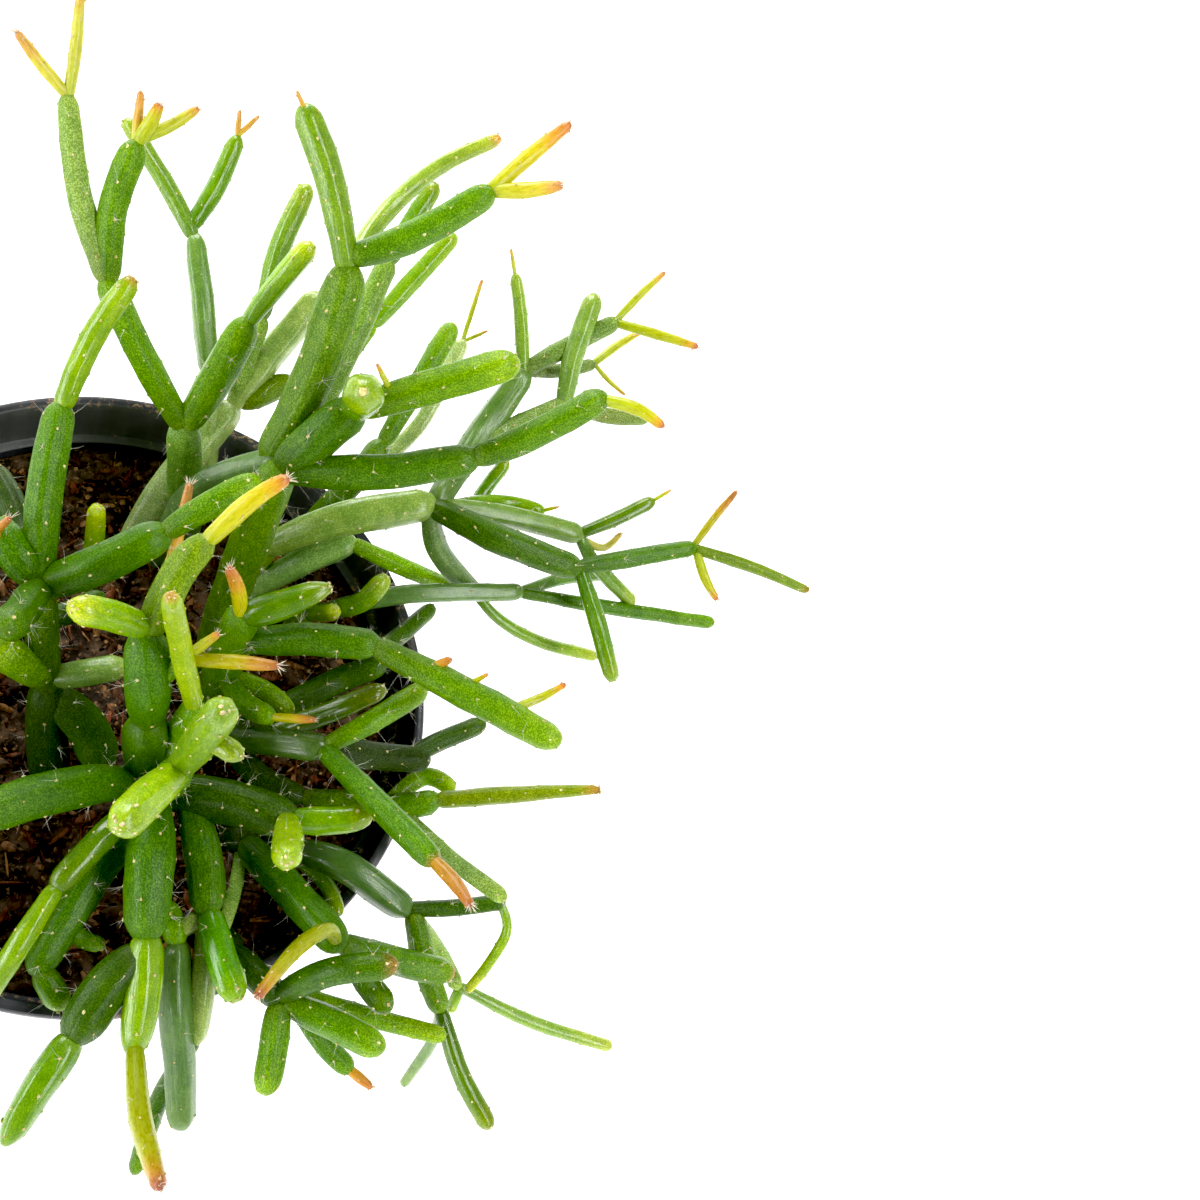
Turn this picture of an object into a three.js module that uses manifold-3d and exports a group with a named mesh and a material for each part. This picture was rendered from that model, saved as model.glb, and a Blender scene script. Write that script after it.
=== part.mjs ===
// A mistletoe cactus (Rhipsalis) standing in its round nursery pot.
// Millimetres, +Z up. The origin is the middle of the pot's flat base, on the floor.
import * as THREE from "three";
import { mergeVertices } from "three/addons/utils/BufferGeometryUtils.js";
import Module from "manifold-3d";

const wasm = await Module();
wasm.setup();

// Driving sizes of the pot: a 12 cm nursery pot.
const RIM_RADIUS = 60;
const POT_HEIGHT = 105;
const BASE_RADIUS = 42.5;
const WALL = 1.1;
const FLOOR_PLATE = 1.6;
const LIP_HEIGHT = 3;
const LIP_OVERHANG = 1.1;
const BAND_HEIGHT = 12.6;
const LEDGE_WIDTH = 2.1;
const EDGE_ROUNDING = 0.5;
const POT_SIDES = 40;
const DRAIN_HOLES = 6;
const DRAIN_RADIUS = 4;
const DRAIN_RING = 31;
const DRAIN_SIDES = 6;

// Driving sizes of the soil, and the clearance of its plain root holes.
const SOIL_LEVEL = 91;
const SOIL_RELIEF = 0.9;
const SOIL_SIDES = 24;
const SOIL_RINGS = 4;
const CLEARANCE = 0.35;
const ROOT_HOLE_SIDES = 6;
const ROOT_HOLE_LENGTH = 16;

// Driving shares of a segment's half-thickness: where its rounded ends have their rings, how wide the
// rings are, and how deep the root of one segment is sunk into the next.
const ROOT_RING = { inset: 0.6, width: 0.8 };
const SHOULDER_RING = { inset: 1.15, width: 0.93 };
const TIP_RING = { inset: 0.25, width: 0.6 };
const SLIM_TIP_RING = { inset: 0.6, width: 0.75 };
const SEAT_DEPTH = 0.6;
const SEAT_STEPS = 24;

// The near and right-hand stems are laid out on a slanted plan. It is the view from SIGHT_POINT along
// SIGHT_AXIS, 1200 units across and 1200 down, with the axis at its middle. A point of a route is
// [across, down, height]: its place on the plan, and its height above the floor in millimetres.
const SIGHT_POINT = new THREE.Vector3(-16.966, -83.26, 367.697);
const SIGHT_AXIS = new THREE.Vector3(0.37341, 0.3752, -0.84841);
const SIGHT_ACROSS = new THREE.Vector3(0.91527, 0, 0.40284);
const SIGHT_DOWN = new THREE.Vector3(0.15114, -0.92695, -0.34341);
const PLAN_MIDDLE = 600;
const PLAN_REACH = 1400;

// Every stem is a chain of sausage-shaped segments. A segment is [name, skin, thickness in millimetres,
// route], and its route runs from its root end to its tip. A fifth value is the share of the thickness
// that is left at the tip of a tapered one. A segment grows out of the nearest one listed before it in
// its stem, unless its root end is in the soil.
const PLANNED_STEMS = {
  "stem_centre": [
    ["crown", "old", 8.6, [[146, 812, 88], [150, 785, 114]]],
    ["trunk_low", "mid", 7.4, [[140, 776, 113], [146, 745, 124], [148, 718, 133]]],
    ["trunk_high", "mid", 7.0, [[148, 720, 133], [148, 675, 143], [146, 626, 150]]],
    ["light_arm", "fresh", 5.6, [[149, 628, 150], [178, 575, 157], [211, 536, 163]], 0.85],
    ["yellow_shoot", "shoot", 3.0, [[208, 538, 163], [250, 502, 168], [289, 477, 172]]],
    ["lime_finger", "fresh", 4.8, [[145, 625, 150], [105, 614, 155], [68, 606, 158]]],
    ["left_arm", "mid", 6.8, [[145, 784, 114], [75, 788, 124], [0, 808, 128], [-48, 822, 130]]],
    ["front_arm", "mid", 7.8, [[150, 795, 113], [151, 850, 123], [146, 944, 122]]],
    ["front_drop", "fresh", 6.7, [[145, 942, 122], [142, 996, 119], [132, 1057, 116]], 0.72],
    ["front_shoot", "shoot", 3.4, [[131, 1056, 116], [139, 1110, 125], [150, 1154, 134], [160, 1188, 142]]],
    ["front_left_thin", "fresh", 4.8, [[134, 800, 115], [108, 831, 123], [52, 891, 122]], 0.9],
    ["front_left_glossy", "fresh", 3.7, [[51, 893, 122], [20, 943, 121], [-10, 989, 116], [-34, 1023, 110]]],
    ["front_left_low", "mid", 6.0, [[126, 836, 108], [90, 883, 112], [32, 976, 110]]],
    ["front_left_end", "mid", 4.4, [[38, 974, 112], [64, 1010, 109]]],
    ["rim_arm", "mid", 7.3, [[142, 945, 120], [105, 989, 118], [68, 1045, 116]]],
    ["rim_drop", "mid", 6.3, [[70, 1046, 116], [38, 1088, 115], [3, 1146, 112]], 0.66],
    ["short_finger", "mid", 3.5, [[68, 935, 109], [88, 941, 111], [105, 945, 113]], 0.75],
    ["stub", "mid", 4.2, [[166, 912, 114], [180, 946, 115]]],
    ["grey_drop_back", "pale", 4.0, [[205, 922, 115], [203, 985, 111], [195, 1045, 105]]],
    ["grey_drop_front", "pale", 5.5,
      [[160, 942, 117], [175, 1000, 111], [180, 1066, 104], [182, 1130, 98]], 0.9],
    ["grey_twig", "mid", 3.2, [[195, 1042, 105], [160, 1098, 96], [134, 1174, 87]]],
    ["right_arm", "mid", 7.6, [[165, 786, 113], [235, 803, 120], [300, 823, 124]]],
    ["right_front_arm", "mid", 6.1, [[194, 798, 112], [202, 850, 116], [209, 918, 117]]],
    ["right_front_drop", "fresh", 5.2, [[210, 914, 117], [221, 958, 119], [238, 1002, 120]]],
    ["right_finger", "fresh", 5.5, [[297, 822, 124], [340, 820, 127], [374, 812, 130]], 0.82],
    ["eye_finger", "fresh", 5.0, [[288, 822, 125], [288, 845, 134], [286, 861, 142]]],
    ["knob_stem", "mid", 5.6, [[160, 790, 114], [170, 780, 132], [178, 771, 150]]],
    ["knob_up", "fresh", 5.2, [[174, 775, 150], [203, 738, 164], [226, 706, 177]]],
    ["knob_side", "fresh", 3.2, [[218, 736, 165], [243, 758, 167]]],
    ["knob_down", "fresh", 5.6, [[180, 768, 150], [150, 797, 157], [117, 829, 164]]],
    ["orange_climber", "shoot", 2.2, [[158, 612, 137], [176, 545, 138], [190, 483, 141]]],
    ["shade_arm", "mid", 4.4, [[165, 772, 118], [180, 735, 128], [196, 704, 140]]],
    ["lime_spear", "fresh", 3.8, [[193, 708, 139], [182, 655, 152], [170, 594, 168]], 0.85],
    ["hidden_twig", "mid", 3.3, [[160, 672, 140], [188, 656, 148]]],
    ["bud_small", "shoot", 1.7, [[186, 652, 148], [219, 633, 152]]],
    ["orange_shoot", "shoot", 2.3, [[186, 658, 147], [235, 662, 151], [279, 666, 155]]],
  ],
  "stem_left": [
    ["left_root", "old", 7.2, [[52, 800, 86], [46, 735, 100], [48, 682, 111]]],
    ["left_neck", "old", 5.6, [[48, 684, 111], [42, 640, 121], [39, 588, 131]]],
    ["left_tower", "mid", 5.6, [[36, 592, 130], [44, 500, 137], [62, 401, 143]]],
    ["left_gloss", "fresh", 4.3, [[62, 402, 143], [92, 338, 150], [134, 277, 158]], 0.82],
    ["left_bar", "mid", 6.6, [[38, 585, 130], [100, 565, 137], [171, 530, 143]]],
    ["left_bar_tip", "mid", 4.4, [[169, 531, 143], [212, 503, 148], [261, 479, 151]]],
    ["left_out", "mid", 6.4, [[40, 582, 130], [14, 552, 133], [-15, 520, 132]]],
    ["left_out_bud", "shoot", 1.5, [[-4, 532, 137], [10, 518, 142]]],
    ["left_out_low", "mid", 4.7, [[30, 560, 127], [12, 505, 124], [-12, 465, 122]]],
    ["left_near", "mid", 5.6, [[39, 590, 131], [22, 612, 139], [4, 631, 146]]],
    ["left_low", "mid", 6.0, [[50, 680, 112], [18, 661, 120], [-14, 645, 124]]],
    ["left_cross", "pale", 4.4, [[48, 678, 112], [90, 672, 116], [129, 666, 117]]],
    ["left_shade", "old", 4.0, [[44, 622, 118], [75, 610, 117], [105, 594, 119]]],
    ["left_shade_foot", "old", 7.4, [[60, 690, 110], [88, 730, 103], [104, 772, 98]]],
  ],
  "stem_sprout": [
    ["sprout", "fresh", 3.6, [[86, 572, 86], [94, 545, 99], [97, 506, 112]]],
  ],
  "stem_back_left": [
    ["back_base", "old", 6.4, [[188, 536, 88], [184, 484, 110], [184, 423, 128]]],
    ["back_left_arm", "mid", 5.0, [[185, 427, 127], [145, 362, 136], [104, 276, 147]]],
    ["back_left_tall", "mid", 4.6, [[100, 280, 146], [79, 192, 154], [67, 92, 161]], 0.76],
    ["back_left_pillar", "mid", 4.8, [[103, 282, 146], [114, 205, 155], [139, 140, 163]]],
    ["back_tip_a", "shoot", 2.0, [[67, 94, 161], [76, 45, 166], [81, -12, 172]]],
    ["back_tip_b", "shoot", 2.0, [[65, 95, 161], [40, 63, 164], [16, 31, 168]]],
    ["back_tip_c", "shoot", 1.6, [[137, 142, 162], [139, 112, 165], [141, 91, 168]]],
    ["back_tip_d", "shoot", 2.4, [[138, 144, 163], [151, 122, 166], [160, 103, 169]]],
    ["back_tip_e", "shoot", 2.0, [[142, 143, 163], [172, 125, 165], [199, 108, 167]]],
    ["back_right_arm", "mid", 6.0, [[184, 427, 127], [222, 368, 137], [250, 317, 144]]],
    ["back_right_tip", "fresh", 3.9, [[249, 318, 143], [281, 280, 151], [313, 243, 158]]],
    ["pale_foot", "pale", 6.4, [[118, 562, 88], [165, 489, 101], [236, 402, 113]]],
    ["pale_long", "pale", 5.4, [[233, 407, 113], [277, 348, 119], [322, 293, 126]]],
    ["pale_dark", "old", 4.8, [[233, 404, 112], [262, 394, 114], [293, 378, 116]]],
    ["pale_hidden", "mid", 3.9, [[234, 404, 113], [247, 358, 119], [263, 315, 126]]],
    ["pale_spear", "fresh", 4.1, [[258, 320, 125], [279, 251, 133], [309, 184, 141]]],
    ["rear_base", "pale", 4.4, [[203, 512, 87], [207, 440, 108], [209, 368, 119]]],
    ["rear_arm", "pale", 5.0, [[211, 372, 118], [202, 298, 122], [194, 232, 125]], 0.82],
    ["rear_left", "fresh", 3.8, [[196, 236, 122], [167, 186, 127], [125, 118, 133]], 0.88],
    ["rear_right", "fresh", 4.0, [[195, 234, 122], [218, 184, 128], [239, 135, 133]], 0.88],
    ["rear_tip_a", "shoot", 1.1, [[240, 136, 133], [240, 110, 136]]],
    ["rear_tip_b", "shoot", 1.0, [[240, 137, 133], [259, 116, 136]]],
  ],
  "stem_tall": [
    ["main_foot", "old", 7.2, [[204, 676, 86], [236, 580, 118], [282, 462, 147]]],
    ["main_side", "pale", 4.8, [[152, 568, 87], [195, 492, 121], [280, 458, 146]]],
    ["main_tower", "mid", 7.2, [[284, 452, 141], [314, 374, 155], [352, 262, 169]]],
    ["main_cap", "mid", 4.9, [[353, 267, 169], [331, 186, 176], [303, 103, 183]]],
    ["main_bud", "shoot", 0.8, [[305, 106, 183], [297, 91, 186]]],
    ["main_crown", "mid", 5.1, [[350, 262, 170], [415, 235, 174], [494, 190, 181]]],
    ["crown_tip_a", "shoot", 2.7, [[488, 192, 180], [530, 156, 184], [571, 123, 189]]],
    ["crown_tip_b", "shoot", 2.7, [[486, 192, 180], [530, 190, 183], [563, 185, 187]]],
    ["crown_back", "fresh", 3.6, [[356, 254, 166], [390, 208, 166], [440, 166, 170], [501, 137, 176]], 0.72],
    ["main_behind", "mid", 4.3, [[296, 448, 141], [338, 372, 148], [390, 258, 157]]],
    ["main_behind_tip", "fresh", 3.4, [[386, 266, 156], [414, 218, 160], [437, 183, 164]]],
    ["main_low", "mid", 3.0, [[318, 408, 141], [345, 362, 143], [374, 323, 145]]],
    ["main_low_tip", "fresh", 3.4, [[372, 324, 145], [414, 279, 150], [456, 234, 155]]],
    ["main_arm", "mid", 7.3, [[270, 470, 148], [325, 431, 153], [364, 402, 158]]],
    ["arm_eye", "fresh", 6.6, [[362, 404, 157], [363, 397, 166], [363, 392, 175]]],
    ["arm_tip", "mid", 5.8, [[360, 406, 157], [440, 384, 165], [520, 361, 171]]],
    ["arm_bud", "shoot", 1.0, [[387, 382, 163], [377, 364, 166]]],
    ["main_right", "mid", 6.0, [[268, 472, 146], [385, 472, 153], [480, 458, 160]]],
    ["right_tip", "mid", 5.0, [[474, 460, 159], [530, 437, 164], [608, 395, 172]]],
    ["right_tip_shoot", "shoot", 2.3, [[602, 398, 171], [637, 409, 174], [664, 427, 175]]],
  ],
  "stem_back_low": [
    ["shade_foot", "old", 5.0, [[288, 566, 86], [316, 522, 107], [350, 486, 116], [386, 440, 121]]],
    ["shade_long", "mid", 4.3, [[384, 444, 119], [425, 374, 127], [454, 323, 132]]],
    ["shade_pale", "pale", 3.4, [[362, 478, 110], [415, 430, 118], [440, 388, 122], [464, 339, 127]]],
    ["shade_tip_a", "shoot", 1.0, [[463, 342, 127], [482, 280, 132]]],
    ["shade_tip_b", "shoot", 0.8, [[462, 342, 127], [487, 331, 129]]],
  ],
  "stem_right": [
    ["right_foot", "old", 5.8, [[244, 592, 86], [262, 544, 115]]],
    ["right_long", "pale", 6.6, [[256, 550, 112], [340, 520, 123], [438, 503, 128]]],
    ["right_down", "mid", 5.7, [[434, 502, 128], [500, 540, 129], [582, 571, 128]]],
    ["right_thin", "mid", 3.7, [[578, 569, 128], [640, 557, 130], [697, 547, 132]]],
    ["right_thin_a", "shoot", 1.6, [[695, 549, 132], [715, 517, 136], [737, 491, 140]]],
    ["right_thin_b", "fresh", 2.8, [[692, 547, 132], [755, 568, 133], [809, 591, 133]], 0.72],
    ["right_thin_c", "shoot", 2.0, [[696, 548, 132], [705, 578, 130], [717, 600, 129]]],
    ["right_sag", "fresh", 3.6, [[580, 566, 128], [597, 622, 123], [613, 682, 119]]],
    ["right_grey", "pale", 4.3, [[434, 500, 127], [510, 517, 126], [584, 536, 126]]],
    ["right_grey_a", "fresh", 3.0, [[580, 537, 126], [618, 518, 129], [655, 500, 132]]],
    ["right_grey_b", "fresh", 3.0, [[580, 534, 126], [596, 565, 122], [634, 604, 117]]],
    ["right_grey_c", "shoot", 1.6, [[582, 536, 126], [603, 548, 124], [622, 533, 127]]],
    ["right_grey_tip", "shoot", 0.8, [[652, 502, 132], [671, 490, 134]]],
    ["right_high", "fresh", 3.1, [[436, 500, 125], [500, 502, 123], [545, 512, 124]]],
    ["right_high_tip", "shoot", 0.8, [[542, 512, 124], [558, 507, 126]]],
    ["right_drop", "pale", 4.2, [[430, 506, 127], [440, 553, 119], [480, 599, 112]]],
    ["right_trail", "fresh", 2.6, [[476, 594, 113], [500, 620, 110], [540, 642, 107], [597, 657, 104]]],
    ["fan_stem", "pale", 5.6, [[436, 505, 127], [480, 435, 128], [528, 369, 135]]],
    ["fan_a", "fresh", 3.1, [[526, 373, 134], [521, 320, 140], [515, 273, 145]], 0.85],
    ["fan_a_tip", "shoot", 0.8, [[515, 277, 145], [511, 249, 148]]],
    ["fan_b", "mid", 3.8, [[524, 371, 135], [570, 345, 139], [619, 320, 143]]],
    ["fan_b_up", "shoot", 1.6, [[616, 322, 143], [640, 295, 146], [665, 272, 149]]],
    ["fan_b_out", "shoot", 2.1, [[615, 321, 143], [655, 334, 145], [698, 347, 147]]],
    ["fan_c", "old", 2.8, [[524, 372, 133], [560, 371, 132], [595, 364, 131]]],
    ["fan_c_up", "shoot", 1.8, [[592, 365, 131], [618, 345, 132], [642, 331, 133]]],
    ["fan_c_down", "shoot", 1.0, [[592, 363, 131], [608, 380, 131], [625, 395, 131]]],
    ["fork_stem", "mid", 4.5, [[470, 450, 127], [520, 425, 130], [572, 402, 134]]],
    ["fork_up", "fresh", 4.3, [[562, 407, 133], [575, 350, 140], [596, 294, 145]]],
    ["fork_out", "old", 3.2, [[566, 405, 134], [610, 416, 134], [649, 418, 133]]],
    ["cross_bit", "fresh", 2.9, [[474, 508, 120], [490, 483, 121], [508, 460, 124]]],
    ["middle_foot", "old", 5.0, [[236, 612, 86], [243, 594, 100]]],
    ["middle_arm", "pale", 5.4, [[240, 598, 98], [300, 563, 111], [356, 539, 118]]],
    ["middle_out", "mid", 3.6, [[352, 540, 118], [400, 566, 115], [452, 588, 109]]],
    ["low_foot", "old", 4.2, [[282, 640, 86], [305, 614, 108]]],
    ["low_long", "pale", 3.9, [[300, 617, 107], [400, 595, 117], [524, 592, 118]]],
    ["low_out", "mid", 3.0, [[520, 592, 118], [600, 606, 117], [714, 623, 116]]],
    ["low_back", "pale", 2.8, [[520, 593, 118], [562, 579, 114], [612, 574, 111]]],
    ["low_finger", "fresh", 3.8, [[318, 612, 111], [360, 603, 118], [388, 576, 124]]],
    ["low_stub", "fresh", 3.4, [[310, 616, 109], [338, 611, 117]]],
  ],
  "stem_inner_right": [
    ["mr_foot", "mid", 6.6, [[204, 722, 86], [221, 672, 112], [243, 613, 137]]],
    ["mr_orange", "shoot", 2.5, [[244, 617, 136], [238, 590, 142], [229, 568, 148]]],
    ["mr_finger", "fresh", 6.3, [[240, 620, 135], [288, 603, 140], [332, 586, 144]], 0.55],
    ["mr_long", "mid", 5.6, [[234, 638, 126], [310, 640, 135], [382, 646, 140]]],
    ["mr_down", "mid", 5.4, [[376, 644, 139], [465, 693, 144], [561, 744, 148]]],
    ["mr_bud_a", "shoot", 1.6, [[428, 665, 142], [452, 659, 146]]],
    ["mr_bud_b", "shoot", 1.0, [[462, 683, 143], [488, 674, 147]]],
    ["mr_bud_c", "shoot", 1.6, [[505, 714, 144], [540, 698, 146], [566, 684, 149]]],
    ["mr_low", "mid", 4.0, [[222, 688, 112], [245, 703, 120], [273, 719, 126]]],
    ["mr_low_tip", "shoot", 1.6, [[270, 717, 126], [316, 720, 130]]],
    ["mr_under", "mid", 3.4, [[232, 662, 112], [266, 690, 113], [293, 714, 112]]],
    ["mr_rim", "old", 3.4, [[340, 642, 131], [385, 645, 119], [433, 607, 112]]],
  ],
  "stem_low_right": [
    ["low_root", "old", 5.4, [[216, 752, 86], [226, 734, 113]]],
    ["low_arm", "pale", 5.4, [[222, 733, 112], [280, 742, 121], [330, 749, 127]]],
    ["low_up", "mid", 4.0, [[325, 750, 126], [370, 722, 130], [426, 688, 130]]],
    ["low_spear", "mid", 4.4, [[324, 746, 127], [376, 802, 135], [437, 864, 143]]],
    ["low_spear_tip", "shoot", 2.3, [[436, 860, 143], [455, 883, 146], [471, 906, 150]]],
    ["low_shadow", "old", 5.0, [[328, 752, 124], [385, 757, 119], [430, 760, 117]]],
    ["low_shadow_tip", "mid", 3.8, [[404, 752, 118], [445, 739, 118], [486, 722, 120]]],
    ["low_olive", "fresh", 4.0, [[268, 748, 114], [335, 710, 115], [386, 688, 119]]],
    ["low_dark", "old", 5.0, [[236, 742, 108], [330, 685, 104], [386, 663, 110]]],
    ["low_under", "old", 4.6, [[224, 745, 104], [262, 778, 104], [306, 800, 106]]],
    ["low_wide", "old", 4.2, [[300, 802, 106], [345, 802, 109], [386, 806, 113]]],
    ["low_wide_tip", "mid", 4.8, [[376, 806, 112], [410, 805, 115], [441, 799, 119]]],
    ["low_bright", "fresh", 4.2, [[438, 799, 118], [520, 794, 124], [601, 789, 130]], 0.45],
    ["low_side", "mid", 3.4, [[386, 794, 112], [425, 777, 113], [455, 790, 116]]],
    ["low_deep", "mid", 3.1, [[396, 814, 113], [450, 858, 119], [506, 900, 126]]],
  ],
  "stem_front_right": [
    ["south_root", "old", 6.6, [[232, 826, 86], [244, 842, 108]]],
    ["south_arm", "mid", 6.2, [[242, 838, 106], [298, 898, 115], [344, 950, 120]]],
    ["south_hook", "shoot", 2.6, [[341, 946, 119], [327, 930, 126], [296, 950, 131], [256, 998, 137]]],
    ["south_side", "mid", 5.0, [[343, 948, 118], [400, 962, 115], [454, 974, 113]]],
    ["south_under", "mid", 4.8, [[343, 950, 117], [368, 984, 113], [390, 1012, 115]]],
    ["south_grey", "pale", 2.6, [[248, 846, 104], [236, 885, 106], [222, 934, 108]]],
  ],
  "stem_front_low": [
    ["sl_root", "old", 5.6, [[205, 920, 86], [232, 950, 107]]],
    ["sl_arm", "old", 4.9, [[230, 946, 106], [256, 976, 112], [286, 1004, 113]]],
    ["sl_long", "mid", 3.5, [[262, 984, 108], [360, 1014, 106], [446, 1037, 108]]],
    ["sl_up", "mid", 4.8, [[272, 1004, 113], [330, 972, 124], [398, 964, 130]]],
    ["sl_drop", "mid", 5.0, [[282, 998, 110], [274, 1045, 112], [265, 1096, 112]]],
    ["sl_right", "mid", 5.2, [[282, 1000, 110], [340, 1027, 114], [385, 1050, 117]]],
    ["sl_under", "mid", 4.0, [[290, 1008, 108], [328, 1048, 102], [352, 1072, 101]]],
    ["sl_under_tip", "shoot", 1.8, [[350, 1070, 101], [372, 1088, 102]]],
  ],
  "stem_front_trailing": [
    ["se_root", "old", 5.2, [[262, 846, 86], [284, 848, 105]]],
    ["se_arm", "pale", 5.6, [[280, 846, 104], [340, 864, 112], [411, 914, 112]]],
    ["se_right", "mid", 3.2, [[406, 912, 112], [455, 908, 113], [506, 901, 116]]],
    ["se_hook", "fresh", 2.0, [[502, 900, 116], [507, 930, 114], [490, 962, 110], [466, 992, 105]]],
    ["se_drop", "mid", 4.4, [[410, 910, 111], [425, 965, 108], [442, 1014, 105]]],
    ["se_drop_tip", "fresh", 3.4, [[440, 1010, 105], [462, 1076, 104], [491, 1129, 103]]],
    ["se_back", "mid", 3.0, [[411, 912, 109], [438, 950, 103], [459, 989, 99]]],
    ["se_back_tip", "fresh", 2.6, [[456, 986, 99], [530, 1021, 97], [612, 1047, 95]]],
    ["se_back_low", "fresh", 2.2, [[460, 990, 99], [450, 1012, 94]]],
    ["se_low_tip", "pale", 2.2, [[440, 1008, 102], [433, 1040, 90], [403, 1085, 74]]],
    ["se_inner", "fresh", 2.8, [[288, 848, 103], [323, 880, 106], [340, 916, 109]]],
  ],
};

// The left-hand stems are laid out straight in millimetres, as [x, y, z].
const MEASURED_STEMS = {
  "stem_left_wide": [
    ["west_base", "old", 7.2, [[-32, -20, 86], [-35, -22, 114]]],
    ["west_arm", "mid", 6.8, [[-35, -22, 112], [-54, -30, 129]]],
    ["west_out", "mid", 6.0, [[-53, -30, 128], [-66, -32, 131], [-80, -36, 130]]],
    ["west_fork", "fresh", 4.6, [[-79, -36, 130], [-92, -34, 128], [-104, -36, 122]]],
    ["west_fork_tip", "shoot", 2.4, [[-103, -36, 123], [-113, -37, 118], [-122, -35, 116]]],
    ["west_drop", "mid", 4.8, [[-79, -36, 129], [-88, -45, 122], [-94, -57, 112]]],
    ["west_drop_tip", "shoot", 2.2, [[-94, -56, 112], [-98, -64, 108], [-99, -73, 106]]],
    ["west_side", "mid", 5.6, [[-52, -30, 129], [-58, -44, 133], [-60, -58, 130]]],
    ["west_side_out", "fresh", 4.6, [[-60, -57, 130], [-64, -70, 127], [-72, -81, 119]]],
    ["west_side_low", "fresh", 4.2, [[-60, -57, 129], [-52, -68, 124], [-49, -82, 117]]],
    ["west_up", "fresh", 5.0, [[-54, -29, 129], [-62, -24, 140], [-66, -21, 154]]],
    ["west_up_bud", "shoot", 2.0, [[-66, -21, 153], [-71, -19, 160], [-74, -15, 167]]],
  ],
  "stem_left_back": [
    ["nw_base", "old", 7.0, [[-40, 8, 86], [-43, 9, 113]]],
    ["nw_arm", "mid", 6.6, [[-43, 9, 111], [-52, 14, 123], [-63, 18, 131]]],
    ["nw_out", "mid", 5.8, [[-62, 18, 130], [-76, 24, 134], [-88, 26, 133]]],
    ["nw_fork", "fresh", 4.4, [[-87, 26, 133], [-99, 24, 132], [-110, 18, 127]]],
    ["nw_fork_tip", "shoot", 2.4, [[-109, 18, 127], [-118, 15, 125], [-127, 16, 126]]],
    ["nw_fork_b", "fresh", 4.4, [[-87, 26, 132], [-97, 34, 130], [-104, 44, 124]]],
    ["nw_fork_b_tip", "shoot", 2.0, [[-104, 43, 124], [-107, 52, 122], [-113, 58, 123]]],
    ["nw_side", "mid", 5.4, [[-62, 18, 131], [-68, 30, 139], [-70, 43, 144]]],
    ["nw_side_out", "fresh", 4.4, [[-70, 42, 144], [-76, 54, 146], [-86, 63, 145]]],
    ["nw_side_up", "fresh", 4.2, [[-70, 42, 144], [-66, 52, 152], [-61, 60, 162]]],
    ["nw_low", "pale", 5.0, [[-62, 18, 129], [-75, 11, 124], [-84, 2, 116]]],
    ["nw_low_tip", "fresh", 3.6, [[-83, 3, 116], [-94, -2, 110], [-103, -9, 103]]],
  ],
  "stem_left_rear": [
    ["rw_base", "old", 6.6, [[-30, 34, 86], [-34, 37, 112]]],
    ["rw_arm", "mid", 6.2, [[-34, 37, 110], [-42, 45, 122], [-50, 54, 129]]],
    ["rw_out", "mid", 5.4, [[-50, 53, 129], [-57, 65, 130], [-60, 78, 127]]],
    ["rw_fork", "fresh", 4.2, [[-60, 77, 127], [-62, 90, 126], [-69, 100, 120]]],
    ["rw_fork_tip", "shoot", 2.2, [[-69, 99, 120], [-76, 106, 118], [-80, 115, 118]]],
    ["rw_fork_b", "fresh", 4.0, [[-60, 77, 127], [-52, 88, 123], [-48, 100, 117]]],
    ["rw_side", "pale", 4.8, [[-49, 52, 128], [-61, 57, 122], [-73, 65, 118]]],
    ["rw_side_tip", "fresh", 3.4, [[-72, 64, 118], [-83, 71, 113], [-92, 81, 109]]],
  ],
  "stem_left_front": [
    ["sw_base", "old", 6.6, [[-22, -38, 86], [-27, -42, 111]]],
    ["sw_arm", "mid", 6.2, [[-27, -42, 110], [-33, -52, 120], [-37, -64, 123]]],
    ["sw_out", "mid", 5.2, [[-37, -63, 123], [-37, -76, 120], [-34, -88, 113]]],
    ["sw_out_tip", "fresh", 4.0, [[-34, -87, 113], [-34, -98, 107], [-37, -108, 99]]],
    ["sw_fork", "fresh", 3.8, [[-34, -87, 113], [-27, -96, 110], [-22, -106, 104]]],
    ["sw_fork_tip", "shoot", 2.0, [[-22, -105, 104], [-20, -112, 103], [-15, -118, 105]]],
    ["sw_side", "pale", 4.6, [[-36, -62, 121], [-42, -73, 112], [-50, -83, 101]]],
  ],
  "stem_left_low": [
    ["wi_base", "old", 6.4, [[-46, -2, 86], [-47, -3, 108]]],
    ["wi_arm", "mid", 6.0, [[-47, -3, 106], [-58, -7, 116], [-70, -10, 120]]],
    ["wi_out", "mid", 4.8, [[-69, -10, 120], [-82, -14, 118], [-93, -20, 112]]],
    ["wi_out_tip", "fresh", 3.6, [[-92, -19, 112], [-103, -22, 105], [-112, -20, 97]]],
    ["wi_side", "fresh", 4.2, [[-69, -10, 119], [-78, -22, 113], [-82, -33, 104]]],
  ],
  "stem_left_tall": [
    ["wt_base", "old", 6.6, [[-27, 4, 86], [-31, 3, 108]]],
    ["wt_mid", "mid", 6.4, [[-31, 3, 106], [-37, -1, 122], [-38, -4, 140]]],
    ["wt_top", "mid", 5.4, [[-38, -4, 138], [-43, -5, 152], [-51, -2, 166]]],
    ["wt_crown", "fresh", 4.6, [[-51, -2, 164], [-62, 2, 172], [-72, 8, 179]]],
    ["wt_crown_tip", "shoot", 2.4, [[-71, 7, 178], [-79, 10, 182], [-87, 16, 184]]],
    ["wt_crown_b", "fresh", 4.2, [[-50, -3, 165], [-54, -13, 175], [-58, -20, 186]]],
    ["wt_side", "fresh", 5.0, [[-38, -4, 138], [-49, -12, 146], [-57, -14, 152]]],
  ],
};

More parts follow.
